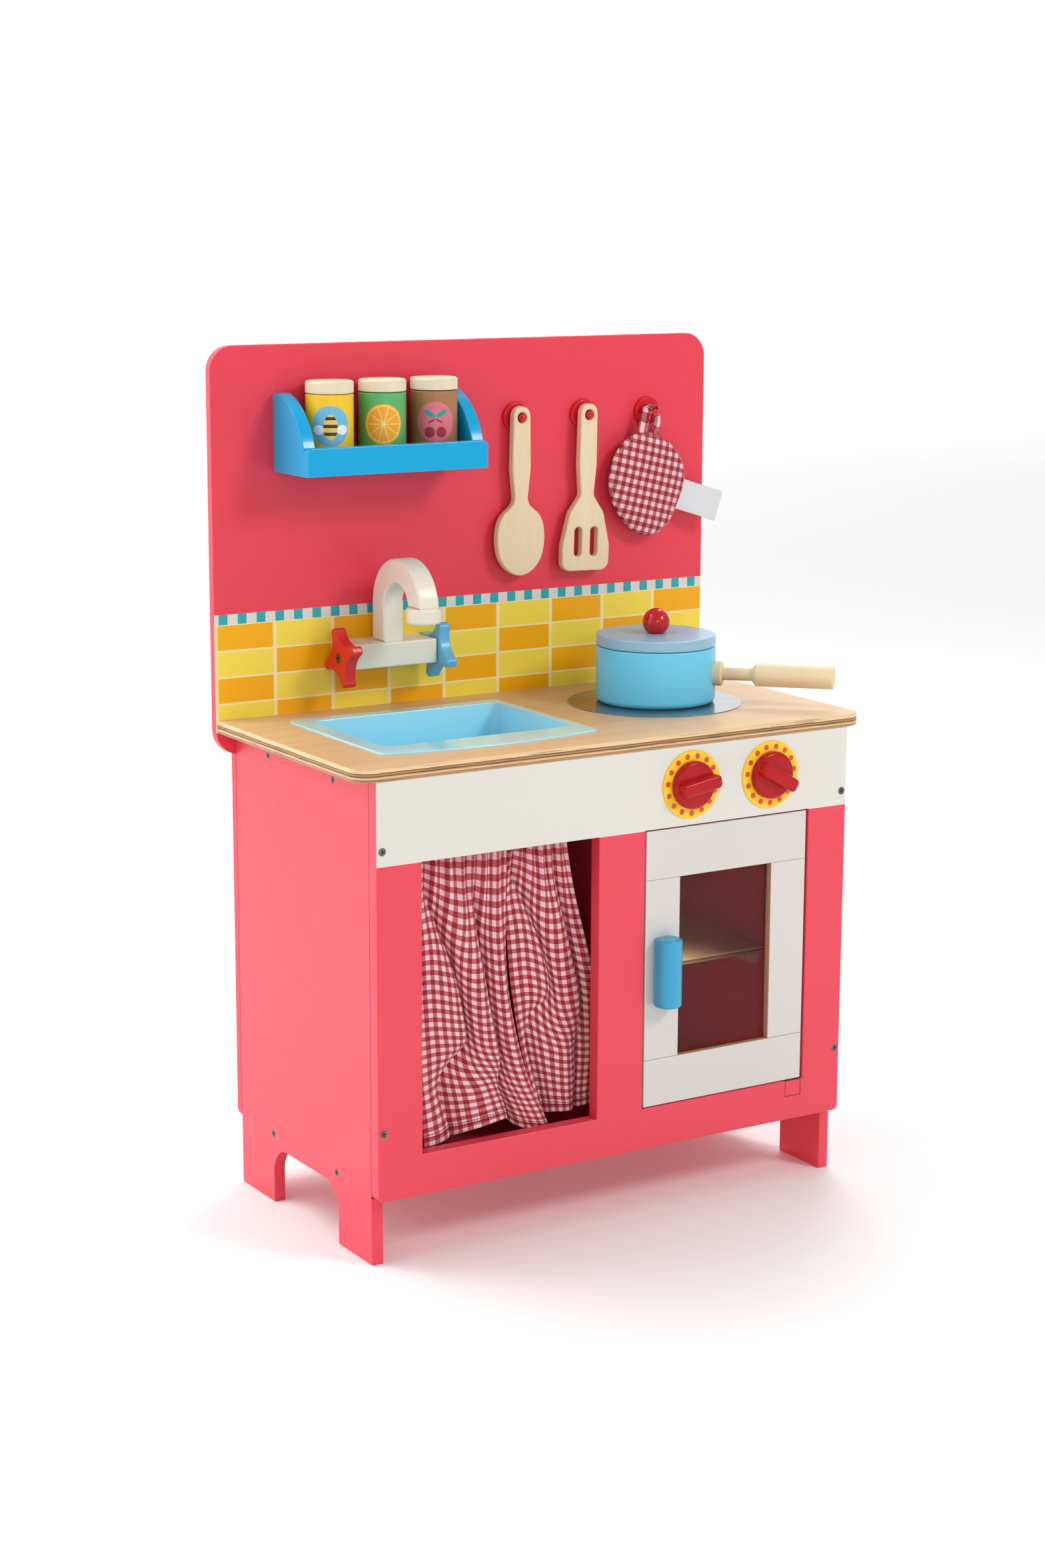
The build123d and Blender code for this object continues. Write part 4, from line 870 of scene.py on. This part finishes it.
for face, side in ((-1, "front"), (1, "back")):
    stitches(
        "holder_stitches_" + side, "pot_holder_body", pink_thread,
        lambda t: holder_point(math.tau * t, STITCH_SHARE, face) + Vector((0, face * 0.2 * MM, 0)), 110,
    )

# Hanging loop: a folded gingham strap, doubled and topstitched. It lies flat where it is sewn into
# the holder's seam and turns edge-on where it goes over the peg.
PEG = Vector((189.8 * MM, 0.0, 678.9 * MM))
LOOP_RADIUS = 6.0 * MM
LOOP_WIDTH = 9.6 * MM
LOOP_DEPTH = 120.2 * MM
loop_route = [Vector((178.6, 0, 653)) * MM, Vector((178.9, 0, 661)) * MM, Vector((181.2, 0, 671)) * MM]
for degrees in range(165, 14, -15):
    turn = math.radians(degrees)
    loop_route.append(PEG + LOOP_RADIUS * Vector((math.cos(turn), 0, math.sin(turn))))
loop_route += [Vector((196.6, 0, 670)) * MM, Vector((193.6, 0, 661)) * MM, Vector((190.6, 0, 653)) * MM]


def loop_place(u, v):
    """Where a point of the strap lies: v runs along it, u across it."""
    here = Vector([eased([p[i] for p in loop_route], v) for i in range(3)])
    ahead = Vector([eased([p[i] for p in loop_route], min(v + 0.01, 1.0)) for i in range(3)])
    behind = Vector([eased([p[i] for p in loop_route], max(v - 0.01, 0.0)) for i in range(3)])
    along = (ahead - behind).normalized()
    level = Vector((0, 1, 0))
    flat_across = along.cross(level).normalized()
    turned = ramped(1.25 - abs(v - 0.5) * 2.6)
    width = flat_across * math.cos(turned * math.pi / 2) + level * math.sin(turned * math.pi / 2)
    pillow = 0.25 * MM * math.sin(math.pi * u)
    lift = along.cross(width).normalized() * pillow
    here.y = LOOP_DEPTH + (0.9 * MM if v > 0.5 else -0.9 * MM) * (1 - turned)
    return here + width * (u - 0.5) * LOOP_WIDTH + lift


loop_length = sum((b - a).length for a, b in zip(loop_route, loop_route[1:]))
strap_cloth = gingham("strap_gingham", HOLDER_CHECK, "cloth")
loop = cloth_grid(
    "holder_strap", "pot_holder_body", "gingham", strap_cloth, loop_place, 10, 90,
    (LOOP_WIDTH, loop_length), 1.0 * MM,
)
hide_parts("holder_loop")
for side, u in (("left", 0.12), ("right", 0.88)):
    stitches(
        "strap_stitches_" + side, "pot_holder_body", pink_thread,
        lambda t: loop_place(u, 0.02 + 0.96 * t) + Vector((0, -0.55 * MM, 0)), 26, thick=0.25 * MM,
    )

# Tag: a folded strip of white satin ribbon, caught in the holder's side seam and left blank. It
# stands out sideways and curls a little.
TAG_SIZE = (46 * MM, 29 * MM)
TAG_START = Vector((219.6 * MM, 119.2 * MM, 601.5 * MM))
TAG_TURN = math.radians(-18)
tag_along = Vector((math.cos(TAG_TURN), 0, math.sin(TAG_TURN)))
tag_up = Vector((-math.sin(TAG_TURN), 0, math.cos(TAG_TURN)))


def tag_place(u, v):
    """u runs out from the seam, v across the ribbon."""
    bend = -5.0 * MM * ramped(u / 0.7) + 1.6 * MM * math.sin(math.pi * u) * (v - 0.5) * 2
    return TAG_START + tag_along * TAG_SIZE[0] * u + tag_up * TAG_SIZE[1] * (v - 0.5) + Vector((0, bend, 0))


satin, satin_shader, satin_place = new_finish("tag_satin", 0.42)
satin_shader.inputs["Sheen Weight"].default_value = 0.3
satin_cloth = satin_place.node("UVMap", {"uv_map": "cloth"})
satin_weave = satin_cloth.stretched((900.0, 5000.0, 1.0)).cloud(1.0, 2.0)
feed(satin_shader, "Base Color", (satin_weave * 0.4).shade(paint("DDDEE1"), 0.85))
feed(satin_shader, "Normal", satin_weave.bump(0.25, 0.0002))
tag = cloth_grid(
    "holder_blank_tag", "pot_holder_body", "tag_cloth", satin, tag_place, 40, 24, TAG_SIZE, 0.5 * MM
)
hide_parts("holder_tag")

# Floor and light: a plain white floor and backdrop, an even sky, a soft lamp high on the right of the
# front, a weaker one lower on the left, two that whiten the floor, and a small one over the oven shelf.
FLOOR_HALF = 14.0
floor_mesh = bpy.data.meshes.new("floor")
floor_corners = [(x * FLOOR_HALF, y * FLOOR_HALF, 0) for x, y in ((-1, -1), (1, -1), (1, 1), (-1, 1))]
floor_mesh.from_pydata(floor_corners, [], [(0, 1, 2, 3)])
floor = bpy.data.objects.new("floor", floor_mesh)
scene.collection.objects.link(floor)
floor_white, floor_shader, floor_place = new_finish("floor_white", 0.9)
feed(floor_shader, "Base Color", floor_place.cloud(1.0).pick(paint("FAFAFA"), paint("FDFDFD")))
floor_mesh.materials.append(floor_white)

sky = bpy.data.worlds.new("studio")
sky.use_nodes = True
sky_light = sky.node_tree.nodes["Background"]
sky_light.inputs["Color"].default_value = (1.0, 1.0, 1.0, 1.0)
sky_light.inputs["Strength"].default_value = 0.5
scene.world = sky
paper_mesh = bpy.data.meshes.new("backdrop_paper")
PAPER_AWAY = 6.0
PAPER_FRONT = -1.5
PAPER_HEIGHT = 9
paper_route = ((-PAPER_AWAY, PAPER_FRONT), (-PAPER_AWAY, PAPER_AWAY), (FLOOR_HALF, PAPER_AWAY))
paper_points = [(x, y, z) for z in (0, PAPER_HEIGHT) for x, y in paper_route]
paper_mesh.from_pydata(paper_points, [], [(0, 1, 4, 3), (1, 2, 5, 4)])
paper = bpy.data.objects.new("backdrop_paper", paper_mesh)
scene.collection.objects.link(paper)
paper_white, paper_shader, paper_place = new_finish("backdrop_white", 1.0)
feed(paper_shader, "Base Color", paper_place.cloud(1.0).pick(paint("F8F8F8"), paint("FCFCFC")))
paper_shader.inputs["Emission Color"].default_value = (1.0, 1.0, 1.0, 1.0)
paper_shader.inputs["Emission Strength"].default_value = 0.75
paper_mesh.materials.append(paper_white)
scene.view_settings.view_transform = "Standard"

AIM = Vector((0.0, 0.0, 0.4))


def lamp(name, place, size, power, aim=AIM, spread=180, glossy=True):
    """A square soft lamp that looks at the kitchen, or at another place."""
    light = bpy.data.lights.new(name, "AREA")
    light.size = size
    light.energy = power
    light.spread = math.radians(spread)
    made = bpy.data.objects.new(name, light)
    made.visible_camera = False
    made.visible_glossy = glossy
    made.location = place
    made.rotation_mode = "QUATERNION"
    made.rotation_quaternion = (aim - Vector(place)).to_track_quat("-Z", "Y")
    scene.collection.objects.link(made)


lamp("key_lamp", (1.3, -2.3, 2.2), 0.8, 32.0)
lamp("front_lamp", (-0.9, -2.6, 1.1), 0.7, 7.5)
lamp("floor_lamp_left", (-0.95, 0.65, 1.7), 0.8, 11.0, Vector((-0.75, 0.6, 0.0)))
lamp("floor_lamp_right", (1.0, 1.0, 1.8), 0.8, 14.0, Vector((0.9, 0.8, 0.0)))
lamp("oven_fill", (0.105, -0.09, 0.33), 0.05, 0.06, Vector((0.1, -0.03, 0.19)), 55, glossy=False)
